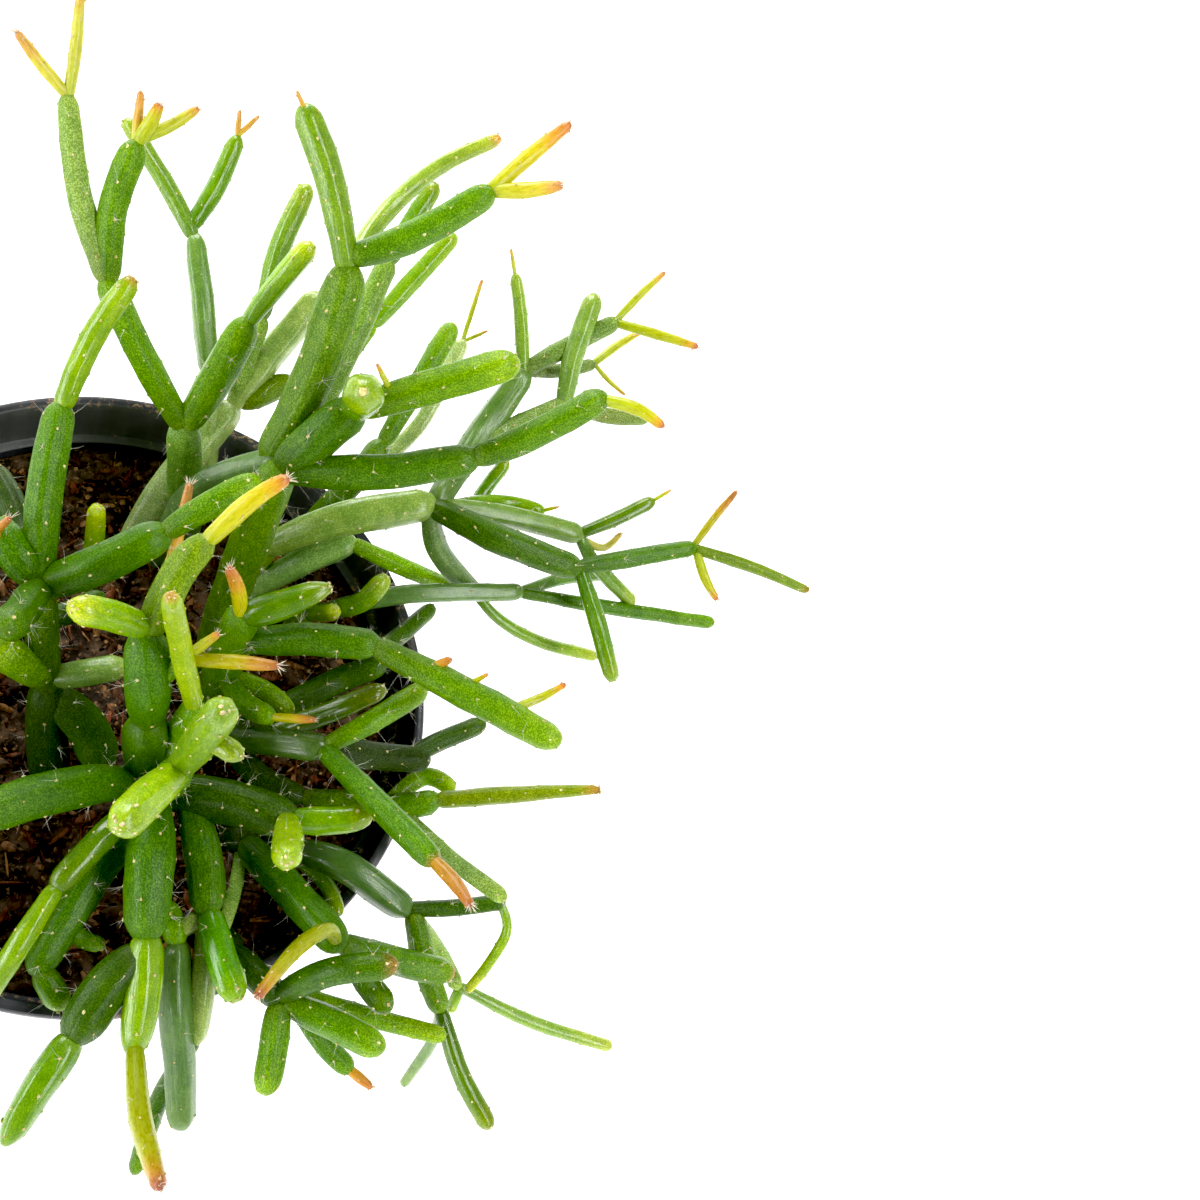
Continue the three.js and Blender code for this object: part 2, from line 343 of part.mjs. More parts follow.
const SHOOT_RINGS = [[0.08, 0.75], [0.45, 1.12], [0.93, 0.6]];
const BUD_RINGS = [[0.4, 1.2]];
const BUD_HALF = 0.9;
const SLIM_HALF = 2.5;
const BENT_LENGTH = 30;
const FACET_SWELL = 1.05;

const STEM_GREENS = {
  stem_centre: 0x5c8f2f,
  stem_left: 0x568a2e,
  stem_sprout: 0x7fae3a,
  stem_back_left: 0x4d8034,
  stem_tall: 0x4c8231,
  stem_back_low: 0x5a8c3c,
  stem_right: 0x4b7f35,
  stem_inner_right: 0x518a30,
  stem_low_right: 0x4a7f2d,
  stem_front_right: 0x4a7c30,
  stem_front_low: 0x4e8330,
  stem_front_trailing: 0x55883a,
};
const LEFT_STEM_GREEN = 0x4f8533;
const STEM_ROUGHNESS = 0.42;
const POT_BLACK = 0x16181b;
const POT_ROUGHNESS = 0.38;
const SOIL_BROWN = 0x3b271b;
const SOIL_ROUGHNESS = 0.96;

/** The point of an [across, down, height] place on the slanted plan. */
function planned([across, down, height]) {
  const sightLine = SIGHT_AXIS.clone();
  sightLine.addScaledVector(SIGHT_ACROSS, (across - PLAN_MIDDLE) / PLAN_REACH);
  sightLine.addScaledVector(SIGHT_DOWN, (down - PLAN_MIDDLE) / PLAN_REACH);
  const distance = (height - SIGHT_POINT.z) / sightLine.z;
  return SIGHT_POINT.clone().addScaledVector(sightLine, distance);
}

/** The point of an [x, y, z] place. */
function measured([x, y, z]) {
  return new THREE.Vector3(x, y, z);
}

/** The centre line through points: straight between two, and a smooth curve through more. */
function centreLine(points) {
  if (points.length === 2) {
    return new THREE.LineCurve3(points[0], points[1]);
  }
  return new THREE.CatmullRomCurve3(points, false, "catmullrom", 0.5);
}

/** Where a segment's root sits: the nearest place well inside the segments that are already there. */
function seatIn(grown, root) {
  const seat = { point: root, depth: 0, distance: Infinity };
  for (const { line, half } of grown) {
    const inset = Math.min((SEAT_DEPTH * half) / line.getLength(), 0.45);
    for (let step = 0; step <= SEAT_STEPS; step += 1) {
      const point = line.getPointAt(THREE.MathUtils.lerp(inset, 1 - inset, step / SEAT_STEPS));
      const distance = point.distanceTo(root);
      if (distance < seat.distance) {
        Object.assign(seat, { point, depth: half, distance });
      }
    }
  }
  return seat;
}

/** A stem's segments in space, each with its centre line, half-thickness, taper and whether it is rooted. */
function grow(rows, layOut) {
  const grown = [];
  for (const [, skin, thickness, route, taper = 1] of rows) {
    const points = route.map(layOut);
    const half = thickness / 2;
    const rooted = points[0].z < SOIL_LEVEL - 2;
    if (!rooted) {
      const seat = seatIn(grown, points[0]);
      const replaced = seat.distance < half + seat.depth ? 1 : 0;
      points.splice(0, replaced, seat.point);
    }
    grown.push({ skin, half, taper, rooted, line: centreLine(points), bent: points.length > 2 });
  }
  return grown;
}

/** A geometry with its shared corners merged and the empty triangles at its poles left out. */
function welded(geometry) {
  geometry.deleteAttribute("normal");
  geometry.deleteAttribute("uv");
  const merged = mergeVertices(geometry, 1e-4);
  const corners = Array.from(merged.index.array);
  const triangles = [];
  for (let corner = 0; corner < corners.length; corner += 3) {
    const [a, b, c] = corners.slice(corner, corner + 3);
    if (a !== b && b !== c && c !== a) {
      triangles.push(a, b, c);
    }
  }
  merged.setIndex(triangles);
  return merged;
}

/** A closed solid from a welded geometry whose faces point out. */
function solidOf(geometry) {
  const mesh = new wasm.Mesh({
    numProp: 3,
    vertProperties: new Float32Array(geometry.attributes.position.array),
    triVerts: new Uint32Array(geometry.index.array),
  });
  return new wasm.Manifold(mesh);
}

/** A geometry for a mesh from a closed solid. */
function geometryOf(solid) {
  const mesh = solid.getMesh();
  const geometry = new THREE.BufferGeometry();
  geometry.setAttribute("position", new THREE.BufferAttribute(new Float32Array(mesh.vertProperties), 3));
  geometry.setIndex(new THREE.BufferAttribute(new Uint32Array(mesh.triVerts), 1));
  return geometry;
}

/** A body turned about the Z axis from an outline of [radius, height] points. */
function turned(outline, sides) {
  const points = outline.map(([radius, height]) => new THREE.Vector2(radius, height));
  const geometry = welded(new THREE.LatheGeometry(points, sides));
  geometry.rotateX(Math.PI / 2);
  return geometry;
}

/** The outline of one segment as [radius, distance from its root end], both ends on the axis. */
function segmentOutline({ skin, half, taper, bent }, length) {
  const width = half * FACET_SWELL;
  if (skin === "shoot") {
    const rings = half < BUD_HALF ? BUD_RINGS : SHOOT_RINGS;
    return [[0, 0], ...rings.map(([share, radius]) => [radius * width, share * length]), [0, length]];
  }
  const shares = bent && length > BENT_LENGTH ? [0.34, 0.66] : [0.48];
  const tipRings = half < SLIM_HALF ? [SLIM_TIP_RING] : [SHOULDER_RING, TIP_RING];
  const narrowed = (distance) => width * THREE.MathUtils.lerp(1, taper, distance / length);
  return [
    [0, 0],
    [ROOT_RING.width * width, ROOT_RING.inset * half],
    ...shares.map((share) => [narrowed(share * length), share * length]),
    ...tipRings.map((ring) => [ring.width * narrowed(length), length - ring.inset * half]),
    [0, length],
  ];
}

/** How many sides a segment has. */
function segmentSides({ skin, half }) {
  if (skin === "shoot") {
    return 4;
  }
  return half < SLIM_HALF ? 5 : 6;
}

/** One segment: a turned body bent along its centre line. */
function segment(grown) {
  const { line } = grown;
  const length = line.getLength();
  const geometry = turned(segmentOutline(grown, length), segmentSides(grown));
  const chord = line.getPointAt(1).sub(line.getPointAt(0)).normalize();
  const reference = Math.abs(chord.z) > 0.9 ? new THREE.Vector3(1, 0, 0) : new THREE.Vector3(0, 0, 1);
  reference.projectOnPlane(chord).normalize();
  const vertices = geometry.attributes.position;
  const vertex = new THREE.Vector3();
  for (let index = 0; index < vertices.count; index += 1) {
    vertex.fromBufferAttribute(vertices, index);
    const share = THREE.MathUtils.clamp(vertex.z / length, 0, 1);
    const along = line.getTangentAt(share);
    const sideways = new THREE.Vector3().crossVectors(along, reference).normalize();
    const upwards = new THREE.Vector3().crossVectors(along, sideways);
    const point = line.getPointAt(share);
    point.addScaledVector(sideways, vertex.x);
    point.addScaledVector(upwards, vertex.y);
    vertices.setXYZ(index, point.x, point.y, point.z);
  }
  return solidOf(geometry);
}

/** A whole stem: its segments joined into one body. */
function stem(grown) {
  return grown.map(segment).reduce((joined, next) => joined.add(next));
}

/** A plain hole in the soil, along the foot of a rooted segment. */
function rootHole({ line, half }) {
  const radius = (half * FACET_SWELL + CLEARANCE) / Math.cos(Math.PI / ROOT_HOLE_SIDES);
  const hole = welded(new THREE.CylinderGeometry(radius, radius, ROOT_HOLE_LENGTH, ROOT_HOLE_SIDES));
  const foot = line.getPointAt(0);
  const knee = line.getPointAt(Math.min(1, 9 / line.getLength()));
  const along = knee.sub(foot).normalize();
  hole.applyQuaternion(new THREE.Quaternion().setFromUnitVectors(new THREE.Vector3(0, 1, 0), along));
  const middle = foot.addScaledVector(along, ROOT_HOLE_LENGTH / 2 - CLEARANCE);
  hole.translate(middle.x, middle.y, middle.z);
  return solidOf(hole);
}

/** The pot: a tapered cup with a stacking ledge, a straight band and a lip, drained through its base. */
function pot() {
  const ledgeTop = POT_HEIGHT - BAND_HEIGHT;
  const bandInner = RIM_RADIUS - LIP_OVERHANG - WALL;
  const bandOuter = bandInner + WALL;
  const ledgeInner = bandInner - LEDGE_WIDTH;
  const outline = [
    [0, 0],
    [BASE_RADIUS, 0],
    [ledgeInner + WALL, ledgeTop - 2 * WALL],
    [bandOuter - 0.2, ledgeTop - WALL],
    [bandOuter, POT_HEIGHT - LIP_HEIGHT - LIP_OVERHANG],
    [RIM_RADIUS, POT_HEIGHT - LIP_HEIGHT],
    [RIM_RADIUS, POT_HEIGHT - EDGE_ROUNDING],
    [RIM_RADIUS - EDGE_ROUNDING, POT_HEIGHT],
    [bandInner + EDGE_ROUNDING, POT_HEIGHT],
    [bandInner, POT_HEIGHT - EDGE_ROUNDING],
    [bandInner - 0.2, ledgeTop],
    [ledgeInner, ledgeTop],
    [BASE_RADIUS - WALL, FLOOR_PLATE],
    [0, FLOOR_PLATE],
  ];
  let cup = solidOf(turned(outline, POT_SIDES));
  for (let number = 0; number < DRAIN_HOLES; number += 1) {
    const bearing = (number / DRAIN_HOLES) * 2 * Math.PI;
    const height = 4 * FLOOR_PLATE;
    const drain = welded(new THREE.CylinderGeometry(DRAIN_RADIUS, DRAIN_RADIUS, height, DRAIN_SIDES));
    drain.rotateX(Math.PI / 2);
    drain.translate(DRAIN_RING * Math.cos(bearing), DRAIN_RING * Math.sin(bearing), 0);
    cup = cup.subtract(solidOf(drain));
  }
  return cup;
}

/** The uneven height of the soil's surface over its level. */
function soilRelief(x, y) {
  const broad = Math.sin(x / 9 + 1.3) * Math.cos(y / 11 - 0.4);
  const fine = Math.sin(x / 3.7 - y / 5.1) * Math.cos(x / 6.3 + y / 3.1 + 2);
  return SOIL_RELIEF * (0.6 * broad + 0.4 * fine);
}

/** The soil: it fills the pot to below the ledge, with a plain hole for every rooted segment. */
function soil(stems) {
  const gap = CLEARANCE + 0.1;
  const bottomRadius = BASE_RADIUS - WALL - gap;
  const topRadius = RIM_RADIUS - LIP_OVERHANG - WALL - LEDGE_WIDTH - 2 * gap;
  const outline = [[0, FLOOR_PLATE + gap], [bottomRadius, FLOOR_PLATE + gap], [topRadius, SOIL_LEVEL - 2]];
  for (let ring = SOIL_RINGS; ring >= 0; ring -= 1) {
    outline.push([(topRadius - 1) * (ring / SOIL_RINGS), SOIL_LEVEL]);
  }
  const geometry = turned(outline, SOIL_SIDES);
  const vertices = geometry.attributes.position;
  for (let index = 0; index < vertices.count; index += 1) {
    if (vertices.getZ(index) > SOIL_LEVEL - 0.1) {
      vertices.setZ(index, SOIL_LEVEL + soilRelief(vertices.getX(index), vertices.getY(index)));
    }
  }
  const holes = stems.flat().filter(({ rooted }) => rooted).map(rootHole);
  return holes.reduce((filling, hole) => filling.subtract(hole), solidOf(geometry));
}

/** One named piece with its colour. */
function piece(name, solid, colour, roughness) {
  const material = new THREE.MeshStandardMaterial({ color: colour, roughness, metalness: 0 });
  const mesh = new THREE.Mesh(geometryOf(solid), material);
  mesh.name = name;
  return mesh;
}

const nearStems = Object.entries(PLANNED_STEMS).map(([name, rows]) => [name, grow(rows, planned)]);
const leftStems = Object.entries(MEASURED_STEMS).map(([name, rows]) => [name, grow(rows, measured)]);
const allStems = [...nearStems, ...leftStems];

const plant = new THREE.Group();
plant.add(piece("pot", pot(), POT_BLACK, POT_ROUGHNESS));
plant.add(piece("soil", soil(allStems.map(([, grown]) => grown)), SOIL_BROWN, SOIL_ROUGHNESS));
for (const [name, grown] of allStems) {
  plant.add(piece(name, stem(grown), STEM_GREENS[name] ?? LEFT_STEM_GREEN, STEM_ROUGHNESS));
}

export default plant;
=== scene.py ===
"""A mistletoe cactus (Rhipsalis) in its round nursery pot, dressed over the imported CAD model.

Every stem gets a fine skin, woolly areoles, hairs and bristled shoot tips, the pot its rounded lip and
dust, and the soil its bark, fibres and crumbs. Routes and sizes are in millimetres, as in the part's
source, and meshes are made in metres.
"""
import math

import bpy
import numpy as np
from mathutils import Matrix, Vector


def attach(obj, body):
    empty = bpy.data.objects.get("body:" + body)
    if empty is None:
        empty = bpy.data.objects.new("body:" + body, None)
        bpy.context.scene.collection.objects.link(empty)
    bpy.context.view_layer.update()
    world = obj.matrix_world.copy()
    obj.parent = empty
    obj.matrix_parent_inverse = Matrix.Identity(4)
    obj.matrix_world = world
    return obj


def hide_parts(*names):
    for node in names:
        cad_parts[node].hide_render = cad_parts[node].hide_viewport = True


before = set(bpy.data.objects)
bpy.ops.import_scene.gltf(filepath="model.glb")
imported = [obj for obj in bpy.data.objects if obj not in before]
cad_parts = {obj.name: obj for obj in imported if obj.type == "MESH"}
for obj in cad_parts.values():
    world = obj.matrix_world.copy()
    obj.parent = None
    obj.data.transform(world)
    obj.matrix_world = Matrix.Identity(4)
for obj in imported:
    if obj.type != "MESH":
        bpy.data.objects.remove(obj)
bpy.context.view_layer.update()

MM = 0.001

# ---------------------------------------------------------------- camera, floor and lights

# The camera's place and direction, and the ways across and down its view. The near stems' places are counted
# along these from the upper left corner of a plan whose middle is at 600, with the eye 1400 in front of it.
SIGHT_POINT = np.array((-16.966, -83.26, 367.697))
SIGHT_AXIS = np.array((0.37341, 0.3752, -0.84841))
SIGHT_ACROSS = np.array((0.91527, 0.0, 0.40284))
SIGHT_DOWN = np.array((0.15114, -0.92695, -0.34341))
PLAN_MIDDLE = 600
PLAN_REACH = 1400
SENSOR_WIDTH = 36
NEAREST_SEEN = 0.01

FLOOR_HALF = 2.5
FLOOR_GLOW = 0.8
BLACK_POINT = 0.010
# The world's light at the horizon, on the walls and overhead, and the heights between which each fades.
HORIZON_LIGHT = 1.05
WALL_LIGHT = 0.70
SKY_LIGHT = 0.11
HORIZON_FADE = (0.04, 0.20)
CEILING_FADE = (0.32, 0.72)
# The soft boxes, each a name, a place, a size and an energy, and the point that they face.
SOFT_BOXES = (
    ("window", (-0.28, 1.12, 0.66), (0.7, 0.7), 14),
    ("left_strip", (-1.09, -0.32, 0.48), (0.30, 1.6), 13.5),
    ("right_strip", (0.55, -0.29, 1.12), (0.30, 1.6), 13.5),
)
LIT_POINT = (0, 0, 0.1)


def placed(name, data):
    """A new object in the scene."""
    thing = bpy.data.objects.new(name, data)
    bpy.context.scene.collection.objects.link(thing)
    return thing


def add_camera():
    data = bpy.data.cameras.new("camera")
    data.sensor_width = SENSOR_WIDTH
    data.lens = SENSOR_WIDTH * PLAN_REACH / (2 * PLAN_MIDDLE)
    data.clip_start = NEAREST_SEEN
    camera = placed("camera", data)
    turn = Matrix((SIGHT_ACROSS, -SIGHT_DOWN, -SIGHT_AXIS)).transposed().to_4x4()
    upright = turn.to_quaternion().to_matrix().to_4x4()
    camera.matrix_world = Matrix.Translation(Vector(SIGHT_POINT * MM)) @ upright
    bpy.context.scene.camera = camera


def add_soft_box(name, place, size, energy):
    """A light that faces the plant, its second size along the camera's upright."""
    data = bpy.data.lights.new(name, "AREA")
    data.shape = "RECTANGLE"
    data.size, data.size_y = size
    data.energy = energy
    away = (Vector(place) - Vector(LIT_POINT)).normalized()
    across = Vector(SIGHT_DOWN).cross(away).normalized()
    facing = Matrix((across, away.cross(across), away)).transposed().to_4x4()
    light = placed(name, data)
    light.matrix_world = Matrix.Translation(place) @ facing
    light.visible_camera = False


def add_world():
    """A pale studio: white at the horizon, bright walls above it and a dim ceiling."""
    world = bpy.data.worlds.new("studio")
    world.use_nodes = True
    tree = world.node_tree
    background = tree.nodes["Background"]
    background.inputs["Color"].default_value = (1, 1, 1, 1)
    parts = tree.nodes.new("ShaderNodeSeparateXYZ")
    tree.links.new(tree.nodes.new("ShaderNodeTexCoord").outputs["Generated"], parts.inputs[0])
    steps = ((*HORIZON_FADE, HORIZON_LIGHT - WALL_LIGHT, 0.0), (*CEILING_FADE, WALL_LIGHT, SKY_LIGHT))
    total = tree.nodes.new("ShaderNodeMath")
    for socket, step in enumerate(steps):
        fade = tree.nodes.new("ShaderNodeMapRange")
        fade.interpolation_type = "SMOOTHSTEP"
        for key, value in zip(("From Min", "From Max", "To Min", "To Max"), step):
            fade.inputs[key].default_value = value
        tree.links.new(parts.outputs["Z"], fade.inputs["Value"])
        tree.links.new(fade.outputs["Result"], total.inputs[socket])
    tree.links.new(total.outputs[0], background.inputs["Strength"])
    bpy.context.scene.world = world


def set_view():
    """Plain standard colour, with the darkest tones drawn down to black."""
    settings = bpy.context.scene.view_settings
    settings.view_transform = "Standard"
    settings.look = "None"
    settings.exposure = 0
    settings.gamma = 1
    settings.use_curve_mapping = True
    settings.curve_mapping.black_level = (BLACK_POINT, BLACK_POINT, BLACK_POINT)
    settings.curve_mapping.update()


# ---------------------------------------------------------------- the stems' routes

# Every stem is a chain of sausage-shaped segments. A segment is [name, skin, thickness in millimetres,
# route], and its route runs from its root end to its tip. A fifth value is the share of the thickness
# that is left at the tip of a tapered one. A segment grows out of the nearest one listed before it in
# its stem, unless its root end is in the soil.
PLANNED_STEMS = {
  "stem_centre": [
    ["crown", "old", 8.6, [[146, 812, 88], [150, 785, 114]]],
    ["trunk_low", "mid", 7.4, [[140, 776, 113], [146, 745, 124], [148, 718, 133]]],
    ["trunk_high", "mid", 7.0, [[148, 720, 133], [148, 675, 143], [146, 626, 150]]],
    ["light_arm", "fresh", 5.6, [[149, 628, 150], [178, 575, 157], [211, 536, 163]], 0.85],
    ["yellow_shoot", "shoot", 3.0, [[208, 538, 163], [250, 502, 168], [289, 477, 172]]],
    ["lime_finger", "fresh", 4.8, [[145, 625, 150], [105, 614, 155], [68, 606, 158]]],
    ["left_arm", "mid", 6.8, [[145, 784, 114], [75, 788, 124], [0, 808, 128], [-48, 822, 130]]],
    ["front_arm", "mid", 7.8, [[150, 795, 113], [151, 850, 123], [146, 944, 122]]],
    ["front_drop", "fresh", 6.7, [[145, 942, 122], [142, 996, 119], [132, 1057, 116]], 0.72],
    ["front_shoot", "shoot", 3.4, [[131, 1056, 116], [139, 1110, 125], [150, 1154, 134], [160, 1188, 142]]],
    ["front_left_thin", "fresh", 4.8, [[134, 800, 115], [108, 831, 123], [52, 891, 122]], 0.9],
    ["front_left_glossy", "fresh", 3.7, [[51, 893, 122], [20, 943, 121], [-10, 989, 116], [-34, 1023, 110]]],
    ["front_left_low", "mid", 6.0, [[126, 836, 108], [90, 883, 112], [32, 976, 110]]],
    ["front_left_end", "mid", 4.4, [[38, 974, 112], [64, 1010, 109]]],
    ["rim_arm", "mid", 7.3, [[142, 945, 120], [105, 989, 118], [68, 1045, 116]]],
    ["rim_drop", "mid", 6.3, [[70, 1046, 116], [38, 1088, 115], [3, 1146, 112]], 0.66],
    ["short_finger", "mid", 3.5, [[68, 935, 109], [88, 941, 111], [105, 945, 113]], 0.75],
    ["stub", "mid", 4.2, [[166, 912, 114], [180, 946, 115]]],
    ["grey_drop_back", "pale", 4.0, [[205, 922, 115], [203, 985, 111], [195, 1045, 105]]],
    ["grey_drop_front", "pale", 5.5,
      [[160, 942, 117], [175, 1000, 111], [180, 1066, 104], [182, 1130, 98]], 0.9],
    ["grey_twig", "mid", 3.2, [[195, 1042, 105], [160, 1098, 96], [134, 1174, 87]]],
    ["right_arm", "mid", 7.6, [[165, 786, 113], [235, 803, 120], [300, 823, 124]]],
    ["right_front_arm", "mid", 6.1, [[194, 798, 112], [202, 850, 116], [209, 918, 117]]],
    ["right_front_drop", "fresh", 5.2, [[210, 914, 117], [221, 958, 119], [238, 1002, 120]]],
    ["right_finger", "fresh", 5.5, [[297, 822, 124], [340, 820, 127], [374, 812, 130]], 0.82],
    ["eye_finger", "fresh", 5.0, [[288, 822, 125], [288, 845, 134], [286, 861, 142]]],
    ["knob_stem", "mid", 5.6, [[160, 790, 114], [170, 780, 132], [178, 771, 150]]],
    ["knob_up", "fresh", 5.2, [[174, 775, 150], [203, 738, 164], [226, 706, 177]]],
    ["knob_side", "fresh", 3.2, [[218, 736, 165], [243, 758, 167]]],
    ["knob_down", "fresh", 5.6, [[180, 768, 150], [150, 797, 157], [117, 829, 164]]],
    ["orange_climber", "shoot", 2.2, [[158, 612, 137], [176, 545, 138], [190, 483, 141]]],
    ["shade_arm", "mid", 4.4, [[165, 772, 118], [180, 735, 128], [196, 704, 140]]],
    ["lime_spear", "fresh", 3.8, [[193, 708, 139], [182, 655, 152], [170, 594, 168]], 0.85],
    ["hidden_twig", "mid", 3.3, [[160, 672, 140], [188, 656, 148]]],
    ["bud_small", "shoot", 1.7, [[186, 652, 148], [219, 633, 152]]],
    ["orange_shoot", "shoot", 2.3, [[186, 658, 147], [235, 662, 151], [279, 666, 155]]],
  ],
  "stem_left": [
    ["left_root", "old", 7.2, [[52, 800, 86], [46, 735, 100], [48, 682, 111]]],
    ["left_neck", "old", 5.6, [[48, 684, 111], [42, 640, 121], [39, 588, 131]]],
    ["left_tower", "mid", 5.6, [[36, 592, 130], [44, 500, 137], [62, 401, 143]]],
    ["left_gloss", "fresh", 4.3, [[62, 402, 143], [92, 338, 150], [134, 277, 158]], 0.82],
    ["left_bar", "mid", 6.6, [[38, 585, 130], [100, 565, 137], [171, 530, 143]]],
    ["left_bar_tip", "mid", 4.4, [[169, 531, 143], [212, 503, 148], [261, 479, 151]]],
    ["left_out", "mid", 6.4, [[40, 582, 130], [14, 552, 133], [-15, 520, 132]]],
    ["left_out_bud", "shoot", 1.5, [[-4, 532, 137], [10, 518, 142]]],
    ["left_out_low", "mid", 4.7, [[30, 560, 127], [12, 505, 124], [-12, 465, 122]]],
    ["left_near", "mid", 5.6, [[39, 590, 131], [22, 612, 139], [4, 631, 146]]],
    ["left_low", "mid", 6.0, [[50, 680, 112], [18, 661, 120], [-14, 645, 124]]],
    ["left_cross", "pale", 4.4, [[48, 678, 112], [90, 672, 116], [129, 666, 117]]],
    ["left_shade", "old", 4.0, [[44, 622, 118], [75, 610, 117], [105, 594, 119]]],
    ["left_shade_foot", "old", 7.4, [[60, 690, 110], [88, 730, 103], [104, 772, 98]]],
  ],
  "stem_sprout": [
    ["sprout", "fresh", 3.6, [[86, 572, 86], [94, 545, 99], [97, 506, 112]]],
  ],
  "stem_back_left": [
    ["back_base", "old", 6.4, [[188, 536, 88], [184, 484, 110], [184, 423, 128]]],
    ["back_left_arm", "mid", 5.0, [[185, 427, 127], [145, 362, 136], [104, 276, 147]]],
    ["back_left_tall", "mid", 4.6, [[100, 280, 146], [79, 192, 154], [67, 92, 161]], 0.76],
    ["back_left_pillar", "mid", 4.8, [[103, 282, 146], [114, 205, 155], [139, 140, 163]]],
    ["back_tip_a", "shoot", 2.0, [[67, 94, 161], [76, 45, 166], [81, -12, 172]]],
    ["back_tip_b", "shoot", 2.0, [[65, 95, 161], [40, 63, 164], [16, 31, 168]]],
    ["back_tip_c", "shoot", 1.6, [[137, 142, 162], [139, 112, 165], [141, 91, 168]]],
    ["back_tip_d", "shoot", 2.4, [[138, 144, 163], [151, 122, 166], [160, 103, 169]]],
    ["back_tip_e", "shoot", 2.0, [[142, 143, 163], [172, 125, 165], [199, 108, 167]]],
    ["back_right_arm", "mid", 6.0, [[184, 427, 127], [222, 368, 137], [250, 317, 144]]],
    ["back_right_tip", "fresh", 3.9, [[249, 318, 143], [281, 280, 151], [313, 243, 158]]],
    ["pale_foot", "pale", 6.4, [[118, 562, 88], [165, 489, 101], [236, 402, 113]]],
    ["pale_long", "pale", 5.4, [[233, 407, 113], [277, 348, 119], [322, 293, 126]]],
    ["pale_dark", "old", 4.8, [[233, 404, 112], [262, 394, 114], [293, 378, 116]]],
    ["pale_hidden", "mid", 3.9, [[234, 404, 113], [247, 358, 119], [263, 315, 126]]],
    ["pale_spear", "fresh", 4.1, [[258, 320, 125], [279, 251, 133], [309, 184, 141]]],
    ["rear_base", "pale", 4.4, [[203, 512, 87], [207, 440, 108], [209, 368, 119]]],
    ["rear_arm", "pale", 5.0, [[211, 372, 118], [202, 298, 122], [194, 232, 125]], 0.82],
    ["rear_left", "fresh", 3.8, [[196, 236, 122], [167, 186, 127], [125, 118, 133]], 0.88],
    ["rear_right", "fresh", 4.0, [[195, 234, 122], [218, 184, 128], [239, 135, 133]], 0.88],
    ["rear_tip_a", "shoot", 1.1, [[240, 136, 133], [240, 110, 136]]],
    ["rear_tip_b", "shoot", 1.0, [[240, 137, 133], [259, 116, 136]]],
  ],
  "stem_tall": [
    ["main_foot", "old", 7.2, [[204, 676, 86], [236, 580, 118], [282, 462, 147]]],
    ["main_side", "pale", 4.8, [[152, 568, 87], [195, 492, 121], [280, 458, 146]]],
    ["main_tower", "mid", 7.2, [[284, 452, 141], [314, 374, 155], [352, 262, 169]]],
    ["main_cap", "mid", 4.9, [[353, 267, 169], [331, 186, 176], [303, 103, 183]]],
    ["main_bud", "shoot", 0.8, [[305, 106, 183], [297, 91, 186]]],
    ["main_crown", "mid", 5.1, [[350, 262, 170], [415, 235, 174], [494, 190, 181]]],
    ["crown_tip_a", "shoot", 2.7, [[488, 192, 180], [530, 156, 184], [571, 123, 189]]],
    ["crown_tip_b", "shoot", 2.7, [[486, 192, 180], [530, 190, 183], [563, 185, 187]]],
    ["crown_back", "fresh", 3.6, [[356, 254, 166], [390, 208, 166], [440, 166, 170], [501, 137, 176]], 0.72],
    ["main_behind", "mid", 4.3, [[296, 448, 141], [338, 372, 148], [390, 258, 157]]],
    ["main_behind_tip", "fresh", 3.4, [[386, 266, 156], [414, 218, 160], [437, 183, 164]]],
    ["main_low", "mid", 3.0, [[318, 408, 141], [345, 362, 143], [374, 323, 145]]],
    ["main_low_tip", "fresh", 3.4, [[372, 324, 145], [414, 279, 150], [456, 234, 155]]],
    ["main_arm", "mid", 7.3, [[270, 470, 148], [325, 431, 153], [364, 402, 158]]],
    ["arm_eye", "fresh", 6.6, [[362, 404, 157], [363, 397, 166], [363, 392, 175]]],
    ["arm_tip", "mid", 5.8, [[360, 406, 157], [440, 384, 165], [520, 361, 171]]],
    ["arm_bud", "shoot", 1.0, [[387, 382, 163], [377, 364, 166]]],
    ["main_right", "mid", 6.0, [[268, 472, 146], [385, 472, 153], [480, 458, 160]]],
    ["right_tip", "mid", 5.0, [[474, 460, 159], [530, 437, 164], [608, 395, 172]]],
    ["right_tip_shoot", "shoot", 2.3, [[602, 398, 171], [637, 409, 174], [664, 427, 175]]],
  ],
  "stem_back_low": [
    ["shade_foot", "old", 5.0, [[288, 566, 86], [316, 522, 107], [350, 486, 116], [386, 440, 121]]],
    ["shade_long", "mid", 4.3, [[384, 444, 119], [425, 374, 127], [454, 323, 132]]],
    ["shade_pale", "pale", 3.4, [[362, 478, 110], [415, 430, 118], [440, 388, 122], [464, 339, 127]]],
    ["shade_tip_a", "shoot", 1.0, [[463, 342, 127], [482, 280, 132]]],
    ["shade_tip_b", "shoot", 0.8, [[462, 342, 127], [487, 331, 129]]],
  ],
  "stem_right": [
    ["right_foot", "old", 5.8, [[244, 592, 86], [262, 544, 115]]],
    ["right_long", "pale", 6.6, [[256, 550, 112], [340, 520, 123], [438, 503, 128]]],
    ["right_down", "mid", 5.7, [[434, 502, 128], [500, 540, 129], [582, 571, 128]]],
    ["right_thin", "mid", 3.7, [[578, 569, 128], [640, 557, 130], [697, 547, 132]]],
    ["right_thin_a", "shoot", 1.6, [[695, 549, 132], [715, 517, 136], [737, 491, 140]]],
    ["right_thin_b", "fresh", 2.8, [[692, 547, 132], [755, 568, 133], [809, 591, 133]], 0.72],
    ["right_thin_c", "shoot", 2.0, [[696, 548, 132], [705, 578, 130], [717, 600, 129]]],
    ["right_sag", "fresh", 3.6, [[580, 566, 128], [597, 622, 123], [613, 682, 119]]],
